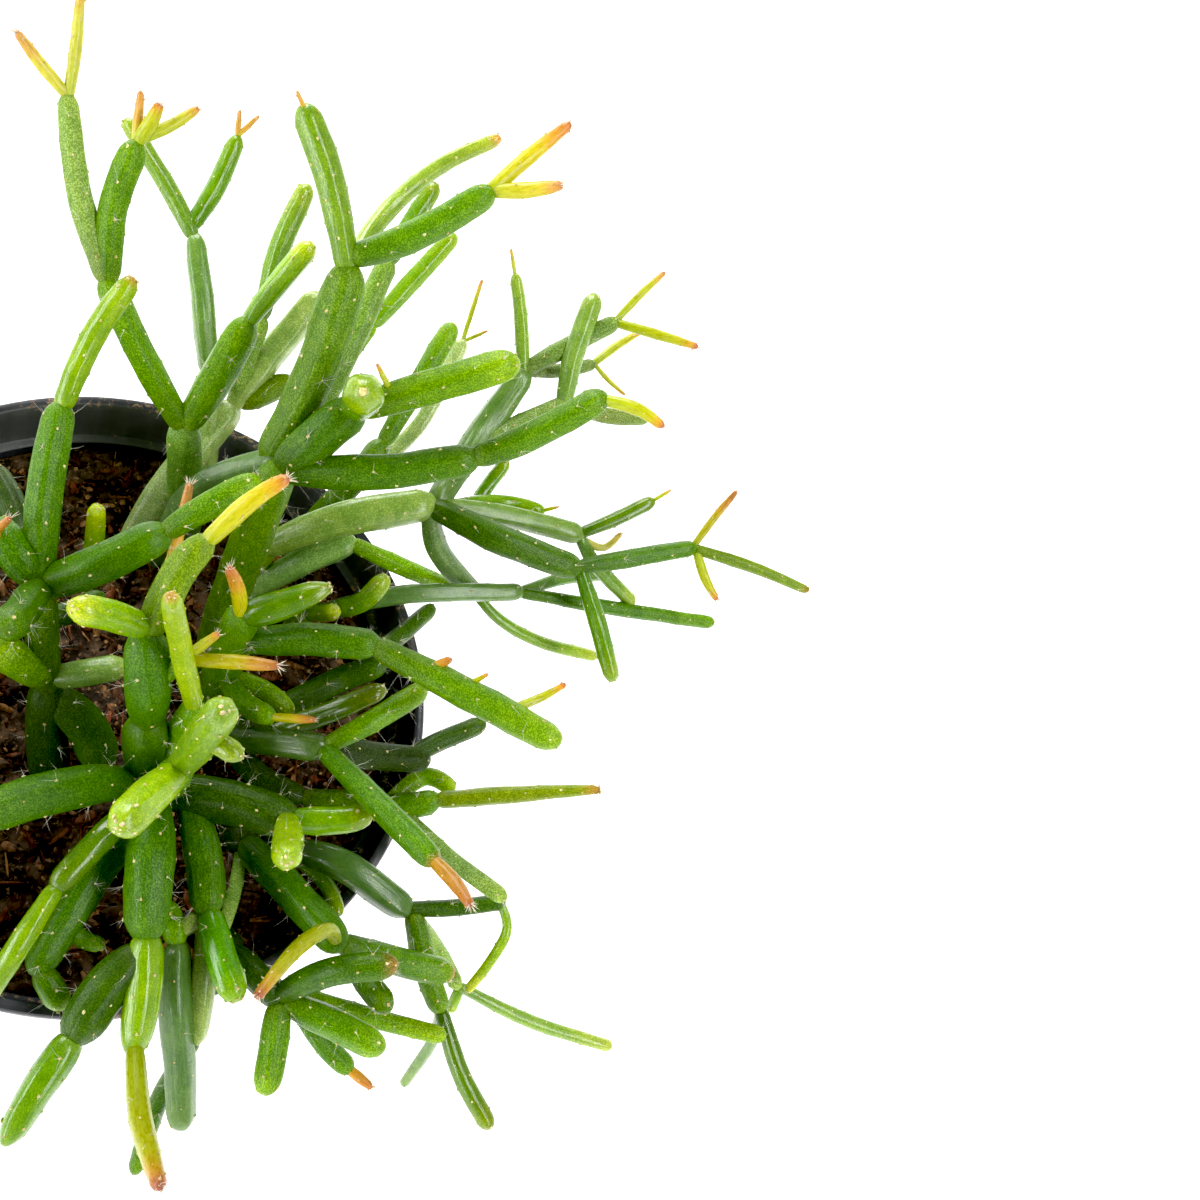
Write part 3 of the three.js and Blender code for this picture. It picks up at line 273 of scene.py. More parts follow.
    ["right_grey", "pale", 4.3, [[434, 500, 127], [510, 517, 126], [584, 536, 126]]],
    ["right_grey_a", "fresh", 3.0, [[580, 537, 126], [618, 518, 129], [655, 500, 132]]],
    ["right_grey_b", "fresh", 3.0, [[580, 534, 126], [596, 565, 122], [634, 604, 117]]],
    ["right_grey_c", "shoot", 1.6, [[582, 536, 126], [603, 548, 124], [622, 533, 127]]],
    ["right_grey_tip", "shoot", 0.8, [[652, 502, 132], [671, 490, 134]]],
    ["right_high", "fresh", 3.1, [[436, 500, 125], [500, 502, 123], [545, 512, 124]]],
    ["right_high_tip", "shoot", 0.8, [[542, 512, 124], [558, 507, 126]]],
    ["right_drop", "pale", 4.2, [[430, 506, 127], [440, 553, 119], [480, 599, 112]]],
    ["right_trail", "fresh", 2.6, [[476, 594, 113], [500, 620, 110], [540, 642, 107], [597, 657, 104]]],
    ["fan_stem", "pale", 5.6, [[436, 505, 127], [480, 435, 128], [528, 369, 135]]],
    ["fan_a", "fresh", 3.1, [[526, 373, 134], [521, 320, 140], [515, 273, 145]], 0.85],
    ["fan_a_tip", "shoot", 0.8, [[515, 277, 145], [511, 249, 148]]],
    ["fan_b", "mid", 3.8, [[524, 371, 135], [570, 345, 139], [619, 320, 143]]],
    ["fan_b_up", "shoot", 1.6, [[616, 322, 143], [640, 295, 146], [665, 272, 149]]],
    ["fan_b_out", "shoot", 2.1, [[615, 321, 143], [655, 334, 145], [698, 347, 147]]],
    ["fan_c", "old", 2.8, [[524, 372, 133], [560, 371, 132], [595, 364, 131]]],
    ["fan_c_up", "shoot", 1.8, [[592, 365, 131], [618, 345, 132], [642, 331, 133]]],
    ["fan_c_down", "shoot", 1.0, [[592, 363, 131], [608, 380, 131], [625, 395, 131]]],
    ["fork_stem", "mid", 4.5, [[470, 450, 127], [520, 425, 130], [572, 402, 134]]],
    ["fork_up", "fresh", 4.3, [[562, 407, 133], [575, 350, 140], [596, 294, 145]]],
    ["fork_out", "old", 3.2, [[566, 405, 134], [610, 416, 134], [649, 418, 133]]],
    ["cross_bit", "fresh", 2.9, [[474, 508, 120], [490, 483, 121], [508, 460, 124]]],
    ["middle_foot", "old", 5.0, [[236, 612, 86], [243, 594, 100]]],
    ["middle_arm", "pale", 5.4, [[240, 598, 98], [300, 563, 111], [356, 539, 118]]],
    ["middle_out", "mid", 3.6, [[352, 540, 118], [400, 566, 115], [452, 588, 109]]],
    ["low_foot", "old", 4.2, [[282, 640, 86], [305, 614, 108]]],
    ["low_long", "pale", 3.9, [[300, 617, 107], [400, 595, 117], [524, 592, 118]]],
    ["low_out", "mid", 3.0, [[520, 592, 118], [600, 606, 117], [714, 623, 116]]],
    ["low_back", "pale", 2.8, [[520, 593, 118], [562, 579, 114], [612, 574, 111]]],
    ["low_finger", "fresh", 3.8, [[318, 612, 111], [360, 603, 118], [388, 576, 124]]],
    ["low_stub", "fresh", 3.4, [[310, 616, 109], [338, 611, 117]]],
  ],
  "stem_inner_right": [
    ["mr_foot", "mid", 6.6, [[204, 722, 86], [221, 672, 112], [243, 613, 137]]],
    ["mr_orange", "shoot", 2.5, [[244, 617, 136], [238, 590, 142], [229, 568, 148]]],
    ["mr_finger", "fresh", 6.3, [[240, 620, 135], [288, 603, 140], [332, 586, 144]], 0.55],
    ["mr_long", "mid", 5.6, [[234, 638, 126], [310, 640, 135], [382, 646, 140]]],
    ["mr_down", "mid", 5.4, [[376, 644, 139], [465, 693, 144], [561, 744, 148]]],
    ["mr_bud_a", "shoot", 1.6, [[428, 665, 142], [452, 659, 146]]],
    ["mr_bud_b", "shoot", 1.0, [[462, 683, 143], [488, 674, 147]]],
    ["mr_bud_c", "shoot", 1.6, [[505, 714, 144], [540, 698, 146], [566, 684, 149]]],
    ["mr_low", "mid", 4.0, [[222, 688, 112], [245, 703, 120], [273, 719, 126]]],
    ["mr_low_tip", "shoot", 1.6, [[270, 717, 126], [316, 720, 130]]],
    ["mr_under", "mid", 3.4, [[232, 662, 112], [266, 690, 113], [293, 714, 112]]],
    ["mr_rim", "old", 3.4, [[340, 642, 131], [385, 645, 119], [433, 607, 112]]],
  ],
  "stem_low_right": [
    ["low_root", "old", 5.4, [[216, 752, 86], [226, 734, 113]]],
    ["low_arm", "pale", 5.4, [[222, 733, 112], [280, 742, 121], [330, 749, 127]]],
    ["low_up", "mid", 4.0, [[325, 750, 126], [370, 722, 130], [426, 688, 130]]],
    ["low_spear", "mid", 4.4, [[324, 746, 127], [376, 802, 135], [437, 864, 143]]],
    ["low_spear_tip", "shoot", 2.3, [[436, 860, 143], [455, 883, 146], [471, 906, 150]]],
    ["low_shadow", "old", 5.0, [[328, 752, 124], [385, 757, 119], [430, 760, 117]]],
    ["low_shadow_tip", "mid", 3.8, [[404, 752, 118], [445, 739, 118], [486, 722, 120]]],
    ["low_olive", "fresh", 4.0, [[268, 748, 114], [335, 710, 115], [386, 688, 119]]],
    ["low_dark", "old", 5.0, [[236, 742, 108], [330, 685, 104], [386, 663, 110]]],
    ["low_under", "old", 4.6, [[224, 745, 104], [262, 778, 104], [306, 800, 106]]],
    ["low_wide", "old", 4.2, [[300, 802, 106], [345, 802, 109], [386, 806, 113]]],
    ["low_wide_tip", "mid", 4.8, [[376, 806, 112], [410, 805, 115], [441, 799, 119]]],
    ["low_bright", "fresh", 4.2, [[438, 799, 118], [520, 794, 124], [601, 789, 130]], 0.45],
    ["low_side", "mid", 3.4, [[386, 794, 112], [425, 777, 113], [455, 790, 116]]],
    ["low_deep", "mid", 3.1, [[396, 814, 113], [450, 858, 119], [506, 900, 126]]],
  ],
  "stem_front_right": [
    ["south_root", "old", 6.6, [[232, 826, 86], [244, 842, 108]]],
    ["south_arm", "mid", 6.2, [[242, 838, 106], [298, 898, 115], [344, 950, 120]]],
    ["south_hook", "shoot", 2.6, [[341, 946, 119], [327, 930, 126], [296, 950, 131], [256, 998, 137]]],
    ["south_side", "mid", 5.0, [[343, 948, 118], [400, 962, 115], [454, 974, 113]]],
    ["south_under", "mid", 4.8, [[343, 950, 117], [368, 984, 113], [390, 1012, 115]]],
    ["south_grey", "pale", 2.6, [[248, 846, 104], [236, 885, 106], [222, 934, 108]]],
  ],
  "stem_front_low": [
    ["sl_root", "old", 5.6, [[205, 920, 86], [232, 950, 107]]],
    ["sl_arm", "old", 4.9, [[230, 946, 106], [256, 976, 112], [286, 1004, 113]]],
    ["sl_long", "mid", 3.5, [[262, 984, 108], [360, 1014, 106], [446, 1037, 108]]],
    ["sl_up", "mid", 4.8, [[272, 1004, 113], [330, 972, 124], [398, 964, 130]]],
    ["sl_drop", "mid", 5.0, [[282, 998, 110], [274, 1045, 112], [265, 1096, 112]]],
    ["sl_right", "mid", 5.2, [[282, 1000, 110], [340, 1027, 114], [385, 1050, 117]]],
    ["sl_under", "mid", 4.0, [[290, 1008, 108], [328, 1048, 102], [352, 1072, 101]]],
    ["sl_under_tip", "shoot", 1.8, [[350, 1070, 101], [372, 1088, 102]]],
  ],
  "stem_front_trailing": [
    ["se_root", "old", 5.2, [[262, 846, 86], [284, 848, 105]]],
    ["se_arm", "pale", 5.6, [[280, 846, 104], [340, 864, 112], [411, 914, 112]]],
    ["se_right", "mid", 3.2, [[406, 912, 112], [455, 908, 113], [506, 901, 116]]],
    ["se_hook", "fresh", 2.0, [[502, 900, 116], [507, 930, 114], [490, 962, 110], [466, 992, 105]]],
    ["se_drop", "mid", 4.4, [[410, 910, 111], [425, 965, 108], [442, 1014, 105]]],
    ["se_drop_tip", "fresh", 3.4, [[440, 1010, 105], [462, 1076, 104], [491, 1129, 103]]],
    ["se_back", "mid", 3.0, [[411, 912, 109], [438, 950, 103], [459, 989, 99]]],
    ["se_back_tip", "fresh", 2.6, [[456, 986, 99], [530, 1021, 97], [612, 1047, 95]]],
    ["se_back_low", "fresh", 2.2, [[460, 990, 99], [450, 1012, 94]]],
    ["se_low_tip", "pale", 2.2, [[440, 1008, 102], [433, 1040, 90], [403, 1085, 74]]],
    ["se_inner", "fresh", 2.8, [[288, 848, 103], [323, 880, 106], [340, 916, 109]]],
  ],
}

# The left-hand stems are laid out straight in millimetres, as [x, y, z].
MEASURED_STEMS = {
  "stem_left_wide": [
    ["west_base", "old", 7.2, [[-32, -20, 86], [-35, -22, 114]]],
    ["west_arm", "mid", 6.8, [[-35, -22, 112], [-54, -30, 129]]],
    ["west_out", "mid", 6.0, [[-53, -30, 128], [-66, -32, 131], [-80, -36, 130]]],
    ["west_fork", "fresh", 4.6, [[-79, -36, 130], [-92, -34, 128], [-104, -36, 122]]],
    ["west_fork_tip", "shoot", 2.4, [[-103, -36, 123], [-113, -37, 118], [-122, -35, 116]]],
    ["west_drop", "mid", 4.8, [[-79, -36, 129], [-88, -45, 122], [-94, -57, 112]]],
    ["west_drop_tip", "shoot", 2.2, [[-94, -56, 112], [-98, -64, 108], [-99, -73, 106]]],
    ["west_side", "mid", 5.6, [[-52, -30, 129], [-58, -44, 133], [-60, -58, 130]]],
    ["west_side_out", "fresh", 4.6, [[-60, -57, 130], [-64, -70, 127], [-72, -81, 119]]],
    ["west_side_low", "fresh", 4.2, [[-60, -57, 129], [-52, -68, 124], [-49, -82, 117]]],
    ["west_up", "fresh", 5.0, [[-54, -29, 129], [-62, -24, 140], [-66, -21, 154]]],
    ["west_up_bud", "shoot", 2.0, [[-66, -21, 153], [-71, -19, 160], [-74, -15, 167]]],
  ],
  "stem_left_back": [
    ["nw_base", "old", 7.0, [[-40, 8, 86], [-43, 9, 113]]],
    ["nw_arm", "mid", 6.6, [[-43, 9, 111], [-52, 14, 123], [-63, 18, 131]]],
    ["nw_out", "mid", 5.8, [[-62, 18, 130], [-76, 24, 134], [-88, 26, 133]]],
    ["nw_fork", "fresh", 4.4, [[-87, 26, 133], [-99, 24, 132], [-110, 18, 127]]],
    ["nw_fork_tip", "shoot", 2.4, [[-109, 18, 127], [-118, 15, 125], [-127, 16, 126]]],
    ["nw_fork_b", "fresh", 4.4, [[-87, 26, 132], [-97, 34, 130], [-104, 44, 124]]],
    ["nw_fork_b_tip", "shoot", 2.0, [[-104, 43, 124], [-107, 52, 122], [-113, 58, 123]]],
    ["nw_side", "mid", 5.4, [[-62, 18, 131], [-68, 30, 139], [-70, 43, 144]]],
    ["nw_side_out", "fresh", 4.4, [[-70, 42, 144], [-76, 54, 146], [-86, 63, 145]]],
    ["nw_side_up", "fresh", 4.2, [[-70, 42, 144], [-66, 52, 152], [-61, 60, 162]]],
    ["nw_low", "pale", 5.0, [[-62, 18, 129], [-75, 11, 124], [-84, 2, 116]]],
    ["nw_low_tip", "fresh", 3.6, [[-83, 3, 116], [-94, -2, 110], [-103, -9, 103]]],
  ],
  "stem_left_rear": [
    ["rw_base", "old", 6.6, [[-30, 34, 86], [-34, 37, 112]]],
    ["rw_arm", "mid", 6.2, [[-34, 37, 110], [-42, 45, 122], [-50, 54, 129]]],
    ["rw_out", "mid", 5.4, [[-50, 53, 129], [-57, 65, 130], [-60, 78, 127]]],
    ["rw_fork", "fresh", 4.2, [[-60, 77, 127], [-62, 90, 126], [-69, 100, 120]]],
    ["rw_fork_tip", "shoot", 2.2, [[-69, 99, 120], [-76, 106, 118], [-80, 115, 118]]],
    ["rw_fork_b", "fresh", 4.0, [[-60, 77, 127], [-52, 88, 123], [-48, 100, 117]]],
    ["rw_side", "pale", 4.8, [[-49, 52, 128], [-61, 57, 122], [-73, 65, 118]]],
    ["rw_side_tip", "fresh", 3.4, [[-72, 64, 118], [-83, 71, 113], [-92, 81, 109]]],
  ],
  "stem_left_front": [
    ["sw_base", "old", 6.6, [[-22, -38, 86], [-27, -42, 111]]],
    ["sw_arm", "mid", 6.2, [[-27, -42, 110], [-33, -52, 120], [-37, -64, 123]]],
    ["sw_out", "mid", 5.2, [[-37, -63, 123], [-37, -76, 120], [-34, -88, 113]]],
    ["sw_out_tip", "fresh", 4.0, [[-34, -87, 113], [-34, -98, 107], [-37, -108, 99]]],
    ["sw_fork", "fresh", 3.8, [[-34, -87, 113], [-27, -96, 110], [-22, -106, 104]]],
    ["sw_fork_tip", "shoot", 2.0, [[-22, -105, 104], [-20, -112, 103], [-15, -118, 105]]],
    ["sw_side", "pale", 4.6, [[-36, -62, 121], [-42, -73, 112], [-50, -83, 101]]],
  ],
  "stem_left_low": [
    ["wi_base", "old", 6.4, [[-46, -2, 86], [-47, -3, 108]]],
    ["wi_arm", "mid", 6.0, [[-47, -3, 106], [-58, -7, 116], [-70, -10, 120]]],
    ["wi_out", "mid", 4.8, [[-69, -10, 120], [-82, -14, 118], [-93, -20, 112]]],
    ["wi_out_tip", "fresh", 3.6, [[-92, -19, 112], [-103, -22, 105], [-112, -20, 97]]],
    ["wi_side", "fresh", 4.2, [[-69, -10, 119], [-78, -22, 113], [-82, -33, 104]]],
  ],
  "stem_left_tall": [
    ["wt_base", "old", 6.6, [[-27, 4, 86], [-31, 3, 108]]],
    ["wt_mid", "mid", 6.4, [[-31, 3, 106], [-37, -1, 122], [-38, -4, 140]]],
    ["wt_top", "mid", 5.4, [[-38, -4, 138], [-43, -5, 152], [-51, -2, 166]]],
    ["wt_crown", "fresh", 4.6, [[-51, -2, 164], [-62, 2, 172], [-72, 8, 179]]],
    ["wt_crown_tip", "shoot", 2.4, [[-71, 7, 178], [-79, 10, 182], [-87, 16, 184]]],
    ["wt_crown_b", "fresh", 4.2, [[-50, -3, 165], [-54, -13, 175], [-58, -20, 186]]],
    ["wt_side", "fresh", 5.0, [[-38, -4, 138], [-49, -12, 146], [-57, -14, 152]]],
  ],
}

# ---------------------------------------------------------------- materials


class Nodes:
    """A material and short ways to add nodes to it."""

    def __init__(self, name):
        self.material = bpy.data.materials.new(name)
        self.material.use_nodes = True
        self.tree = self.material.node_tree
        self.shader = self.tree.nodes["Principled BSDF"]

    def add(self, kind, **values):
        node = self.tree.nodes.new(kind)
        for key, value in values.items():
            setattr(node, key, value)
        return node

    def join(self, output, target):
        self.tree.links.new(output, target)

    def put(self, value, socket):
        """Joins an output to a socket, or sets the socket to a number or a colour."""
        if isinstance(value, bpy.types.NodeSocket):
            self.join(value, socket)
        elif isinstance(value, (int, float)):
            socket.default_value = value
        elif value is not None:
            socket.default_value = (*value, 1)

    def attribute(self, name):
        return self.add("ShaderNodeAttribute", attribute_name=name)

    def object_place(self):
        return self.add("ShaderNodeTexCoord").outputs["Object"]

    def scaled(self, place, scale):
        node = self.add("ShaderNodeVectorMath", operation="MULTIPLY")
        self.join(place, node.inputs[0])
        node.inputs[1].default_value = scale
        return node.outputs[0]

    def noise(self, place, scale, detail, rough):
        node = self.add("ShaderNodeTexNoise")
        node.inputs["Scale"].default_value = scale
        node.inputs["Detail"].default_value = detail
        node.inputs["Roughness"].default_value = rough
        self.join(place, node.inputs["Vector"])
        return node.outputs["Fac"]

    def ranged(self, value, low, high, to_low=0.0, to_high=1.0):
        node = self.add("ShaderNodeMapRange", interpolation_type="SMOOTHSTEP")
        for key, number in (("From Min", low), ("From Max", high), ("To Min", to_low), ("To Max", to_high)):
            node.inputs[key].default_value = number
        self.join(value, node.inputs["Value"])
        return node.outputs["Result"]

    def mix(self, share, first, second, blend="MIX"):
        node = self.add("ShaderNodeMix", data_type="RGBA", blend_type=blend)
        self.put(share, node.inputs[0])
        self.put(first, node.inputs[6])
        self.put(second, node.inputs[7])
        return node.outputs[2]

    def toned(self, colour, tone):
        """A colour multiplied by a tone."""
        return self.mix(1.0, colour, tone, "MULTIPLY")

    def math(self, operation, first, second):
        node = self.add("ShaderNodeMath", operation=operation)
        self.put(first, node.inputs[0])
        self.put(second, node.inputs[1])
        return node.outputs[0]

    def product(self, first, second):
        return self.math("MULTIPLY", first, second)

    def bump(self, height, strength, distance, under=None):
        node = self.add("ShaderNodeBump")
        node.inputs["Strength"].default_value = strength
        node.inputs["Distance"].default_value = distance
        self.join(height, node.inputs["Height"])
        self.put(under, node.inputs["Normal"])
        return node.outputs["Normal"]

    def finished(self, colour, roughness, normal, **fixed):
        """The material, with what was worked out for its surface and what is the same all over it."""
        self.put(colour, self.shader.inputs["Base Color"])
        self.put(roughness, self.shader.inputs["Roughness"])
        self.put(normal, self.shader.inputs["Normal"])
        for key, value in fixed.items():
            self.shader.inputs[key.replace("_", " ")].default_value = value
        return self.material


def linear(colour):
    """A colour written as 0xrrggbb, as linear red, green and blue."""
    parts = np.array([(colour >> 16) & 255, (colour >> 8) & 255, colour & 255]) / 255
    return np.where(parts <= 0.04045, parts / 12.92, ((parts + 0.055) / 1.055) ** 2.4)


# The skin's tones, which its own tints are multiplied by.
GRAIN_HOLLOWS = (0.49, 0.57, 0.32)
GRAIN_TOPS = (1.16, 1.08, 1.30)
GLOSSY_TONE = (0.76, 0.78, 0.70)
MOTTLE_DARK = (0.86, 0.90, 0.80)
MOTTLE_LIGHT = (1.12, 1.07, 1.04)
# A trace of yellow-green wax on the tops of the grain.
WAX = (0.62, 0.72, 0.16)
WAX_SHARE = 0.03


def skin_material(name, shine, relief):
    """Green cactus skin: its own tint at every point, pale grain, soft mottling and fine wrinkles."""
    nodes = Nodes(name)
    own = nodes.attribute("tint")
    tint, gloss = own.outputs["Color"], own.outputs["Alpha"]
    place = nodes.attribute("straight").outputs["Vector"]
    grain = nodes.noise(place, 4.0, 1.0, 0.5)
    mottle = nodes.noise(place, 0.42, 2.0, 0.5)
    wrinkle = nodes.noise(nodes.scaled(place, (1.3, 1.3, 0.16)), 1.0, 2.0, 0.5)
    hollows = nodes.toned(tint, GRAIN_HOLLOWS)
    tops = nodes.mix(WAX_SHARE, nodes.toned(tint, GRAIN_TOPS), WAX)
    grained = nodes.mix(nodes.ranged(grain, 0.44, 0.62), hollows, tops)
    plain = nodes.toned(tint, GLOSSY_TONE)
    grained = nodes.mix(nodes.ranged(gloss, 0.3, 1.0, 0.0, 0.5), grained, plain)
    mottled = nodes.mix(nodes.ranged(mottle, 0.36, 0.64), MOTTLE_DARK, MOTTLE_LIGHT)
    satin = nodes.ranged(grain, 0.35, 0.7, 0.48, 0.40)
    polish = nodes.ranged(gloss, 0.0, 1.0, 0.0, 0.26)
    wrinkled = nodes.bump(wrinkle, relief, 0.0004)
    return nodes.finished(
        nodes.toned(grained, mottled),
        nodes.math("SUBTRACT", satin, polish),
        nodes.bump(grain, relief, 0.00010, wrinkled),
        Subsurface_Weight=0.12,
        Subsurface_Radius=(0.5, 1.0, 0.05),
        Subsurface_Scale=0.0011,
        Specular_IOR_Level=shine,
    )


STREAK_DARK = (0.74, 0.72, 0.58)
STREAK_LIGHT = (0.88, 0.88, 0.84)
RED_FLECK = (0.42, 0.20, 0.05)


def shoot_material():
    """The waxy skin of new shoots, with streaks and reddish scaly flecks."""
    nodes = Nodes("shoot_skin")
    tint = nodes.attribute("tint").outputs["Color"]
    place = nodes.attribute("straight").outputs["Vector"]
    streak = nodes.noise(nodes.scaled(place, (2.4, 2.4, 0.6)), 1.0, 2.0, 0.6)
    fleck = nodes.noise(place, 1.3, 3.0, 0.65)
    streaked = nodes.toned(tint, nodes.mix(nodes.ranged(streak, 0.36, 0.64), STREAK_DARK, STREAK_LIGHT))
    return nodes.finished(
        nodes.mix(nodes.ranged(fleck, 0.60, 0.74, 0.0, 0.14), streaked, RED_FLECK),
        nodes.ranged(streak, 0.3, 0.7, 0.24, 0.38),
        nodes.bump(streak, 0.4, 0.00015),
        Subsurface_Weight=0.25,
        Subsurface_Radius=(1.0, 0.7, 0.1),
        Subsurface_Scale=0.001,
        Specular_IOR_Level=0.45,
    )


CLEAN_WOOL = (1.08, 1.06, 1.02)
# The colour of the painted glow that lightens wool and hairs where light would shine through them.
WOOL_PAINTED_GLOW = (1.0, 0.98, 0.92, 1)


def felt_material(name, wear, roughness, painted_glow):
    """Cream wool and bristles: their own tint at every point, with a fine uneven dirtying and a faint
    painted glow that lightens them as if light shone through them.
    """
    nodes = Nodes(name)
    tint = nodes.attribute("tint").outputs["Color"]
    patch = nodes.noise(nodes.object_place(), 2600, 2.0, 0.6)
    dirtied = nodes.mix(nodes.ranged(patch, 0.38, 0.66), wear, CLEAN_WOOL)
    return nodes.finished(
        nodes.toned(tint, dirtied),
        nodes.ranged(patch, 0.3, 0.7, roughness, roughness - 0.15),
        nodes.bump(patch, 0.5, 0.00015),
        Specular_IOR_Level=0.3,
        Emission_Color=WOOL_PAINTED_GLOW,
        Emission_Strength=painted_glow,
    )


PLASTIC = (0.024, 0.0255, 0.031)
SCUFFED_PLASTIC = (0.085, 0.090, 0.106)
# The dark and light greys of the painted sheen inside the back of the upper wall.
PAINTED_SHEEN_DARK = (0.092, 0.092, 0.097)
PAINTED_SHEEN_LIGHT = (0.155, 0.155, 0.165)
TAN_DUST = (0.40, 0.25, 0.14)
# Heights in metres between which the lip and the ledge begin and the dust of the ledge ends.
LIP_START = (0.1034, 0.1046)
LEDGE_START = (0.0921, 0.0924)
LEDGE_DUST_END = (0.0928, 0.0945)
# A painted sheen lies inside the upper wall, at the back, a lighter grey where the lamps' light would
# reflect: it ends outward between these radii, and begins between these places on Y.
INSIDE_END = (0.0578, 0.0584)
BACK_START = (0.0, 0.045)


def pot_material():
    """Thin black nursery plastic, with drawn streaks down the wall, scuffs, tan dust where it settles and a
    painted sheen inside the back of the upper wall.
    """
    nodes = Nodes("pot_plastic")
    place = nodes.object_place()
    drawn_place = nodes.scaled(place, (1, 1, 0.08))
    drawn = nodes.noise(drawn_place, 700, 2.0, 0.5)
    scuff = nodes.noise(drawn_place, 130, 4.0, 0.65)
    dust = nodes.noise(place, 900, 3.0, 0.7)
    clump = nodes.noise(place, 120, 2.0, 0.5)
    parts = nodes.add("ShaderNodeSeparateXYZ")
    nodes.join(place, parts.inputs[0])
    on_lip = nodes.ranged(parts.outputs["Z"], *LIP_START)
    above_ledge = nodes.ranged(parts.outputs["Z"], *LEDGE_START)
    below_band = nodes.ranged(parts.outputs["Z"], *LEDGE_DUST_END, 1.0, 0.0)
    on_ledge = nodes.product(above_ledge, below_band)
    dusty = nodes.math("MAXIMUM", nodes.product(on_lip, 0.75), on_ledge)
    specks = nodes.product(nodes.ranged(dust, 0.53, 0.62), nodes.ranged(clump, 0.44, 0.60))
    powder = nodes.product(dusty, specks)
    scuffed = nodes.product(nodes.ranged(scuff, 0.40, 0.80), 0.35)
    black = nodes.mix(scuffed, PLASTIC, SCUFFED_PLASTIC)
    radius = nodes.add("ShaderNodeVectorMath", operation="LENGTH")
    nodes.join(nodes.scaled(place, (1, 1, 0)), radius.inputs[0])
    inside = nodes.ranged(radius.outputs["Value"], *INSIDE_END, 0.8, 0.0)
    at_back = nodes.ranged(parts.outputs["Y"], *BACK_START)
    # Painted sheen: the inside of the upper wall at the back is made a lighter grey, where the lamps' light
    # would reflect.
    painted_sheen_share = nodes.product(nodes.product(inside, above_ledge), at_back)
    grey = nodes.mix(nodes.ranged(scuff, 0.3, 0.7), PAINTED_SHEEN_DARK, PAINTED_SHEEN_LIGHT)
    worn = nodes.ranged(scuff, 0.35, 0.7, 0.30, 0.46)
    return nodes.finished(
        nodes.mix(powder, nodes.mix(painted_sheen_share, black, grey), TAN_DUST),
        nodes.math("MAXIMUM", worn, nodes.product(powder, 0.95)),
        nodes.bump(drawn, 0.25, 0.0002),
        Specular_IOR_Level=0.5,
    )


PEAT_PITS = (0.024, 0.018, 0.012)
PEAT_CRUMBS = (0.128, 0.079, 0.046)
PEAT_FLECKS = (0.36, 0.21, 0.12)


def soil_material():
    """Damp dark peat, black in its pits and red-brown on its crumbs."""
    nodes = Nodes("potting_soil")
    place = nodes.object_place()
    lump = nodes.noise(place, 210, 4.0, 0.65)
    fleck = nodes.noise(place, 760, 3.0, 0.7)
    peat = nodes.mix(nodes.ranged(lump, 0.42, 0.62), PEAT_PITS, PEAT_CRUMBS)
    return nodes.finished(
        nodes.mix(nodes.ranged(fleck, 0.57, 0.70), peat, PEAT_FLECKS),
        nodes.ranged(lump, 0.3, 0.7, 0.98, 0.82),
        nodes.bump(fleck, 0.8, 0.0006, nodes.bump(lump, 0.8, 0.0012)),
        Specular_IOR_Level=0.25,
    )


# The tones that a chip's own tint is multiplied by.
BARK_GROOVES = (0.78, 0.72, 0.64)
BARK_FIBRES = (2.1, 2.0, 1.8)


def bark_material():
    """Bark chips, fibres and crumbs: their own tint, with a fibrous grain."""
    nodes = Nodes("bark")
    tint = nodes.attribute("tint").outputs["Color"]
    fibre = nodes.noise(nodes.scaled(nodes.object_place(), (1.0, 0.35, 1.0)), 1300, 3.0, 0.65)
    tone = nodes.mix(nodes.ranged(fibre, 0.36, 0.66), BARK_GROOVES, BARK_FIBRES)
    return nodes.finished(
        nodes.toned(tint, tone),
        nodes.ranged(fibre, 0.3, 0.7, 0.92, 0.72),
        nodes.bump(fibre, 0.7, 0.0004),
        Specular_IOR_Level=0.3,
    )


FLOOR_SHADE = (0.90, 0.90, 0.90)
FLOOR_WHITE = (0.92, 0.92, 0.92)


def floor_material():
    """A plain white studio floor, lit from below as a light table is."""
    nodes = Nodes("studio_floor")
    cloud = nodes.noise(nodes.object_place(), 3.0, 2.0, 0.5)
    return nodes.finished(
        nodes.mix(cloud, FLOOR_SHADE, FLOOR_WHITE),
        0.9,
        None,
        Specular_IOR_Level=0.1,
        Emission_Color=(1, 1, 1, 1),
        Emission_Strength=FLOOR_GLOW,
    )


# ---------------------------------------------------------------- mesh building


def around(sides):
    """The angles of evenly spaced points on a full turn."""
    return np.arange(sides) * 2 * math.pi / sides


def swung(angle, first, second):
    """Directions at an angle from the first one towards the second."""
    return np.cos(angle)[..., None] * first + np.sin(angle)[..., None] * second


def unit(vectors):
    return vectors / np.maximum(np.linalg.norm(vectors, axis=-1, keepdims=True), 1e-9)


def smooth(value, low, high):
    share = np.clip((value - low) / (high - low), 0, 1)
    return share * share * (3 - 2 * share)


def toward(value, other, share):
    return value + (other - value) * share


def tube_faces(rings, sides):
    """The faces of a closed body of rings between two poles, the poles being its last two points."""
    ring = np.arange(rings - 1)[:, None] * sides
    side = np.arange(sides)
    ahead = (side + 1) % sides
    walls = np.stack([ring + side, ring + ahead, ring + sides + ahead, ring + sides + side], axis=-1)
    root, tip = rings * sides, rings * sides + 1
    last = (rings - 1) * sides
    root_fan = np.stack([np.full(sides, root), ahead, side], axis=-1)
    tip_fan = np.stack([np.full(sides, tip), last + side, last + ahead], axis=-1)
    return [walls.reshape(-1, 4), root_fan, tip_fan]


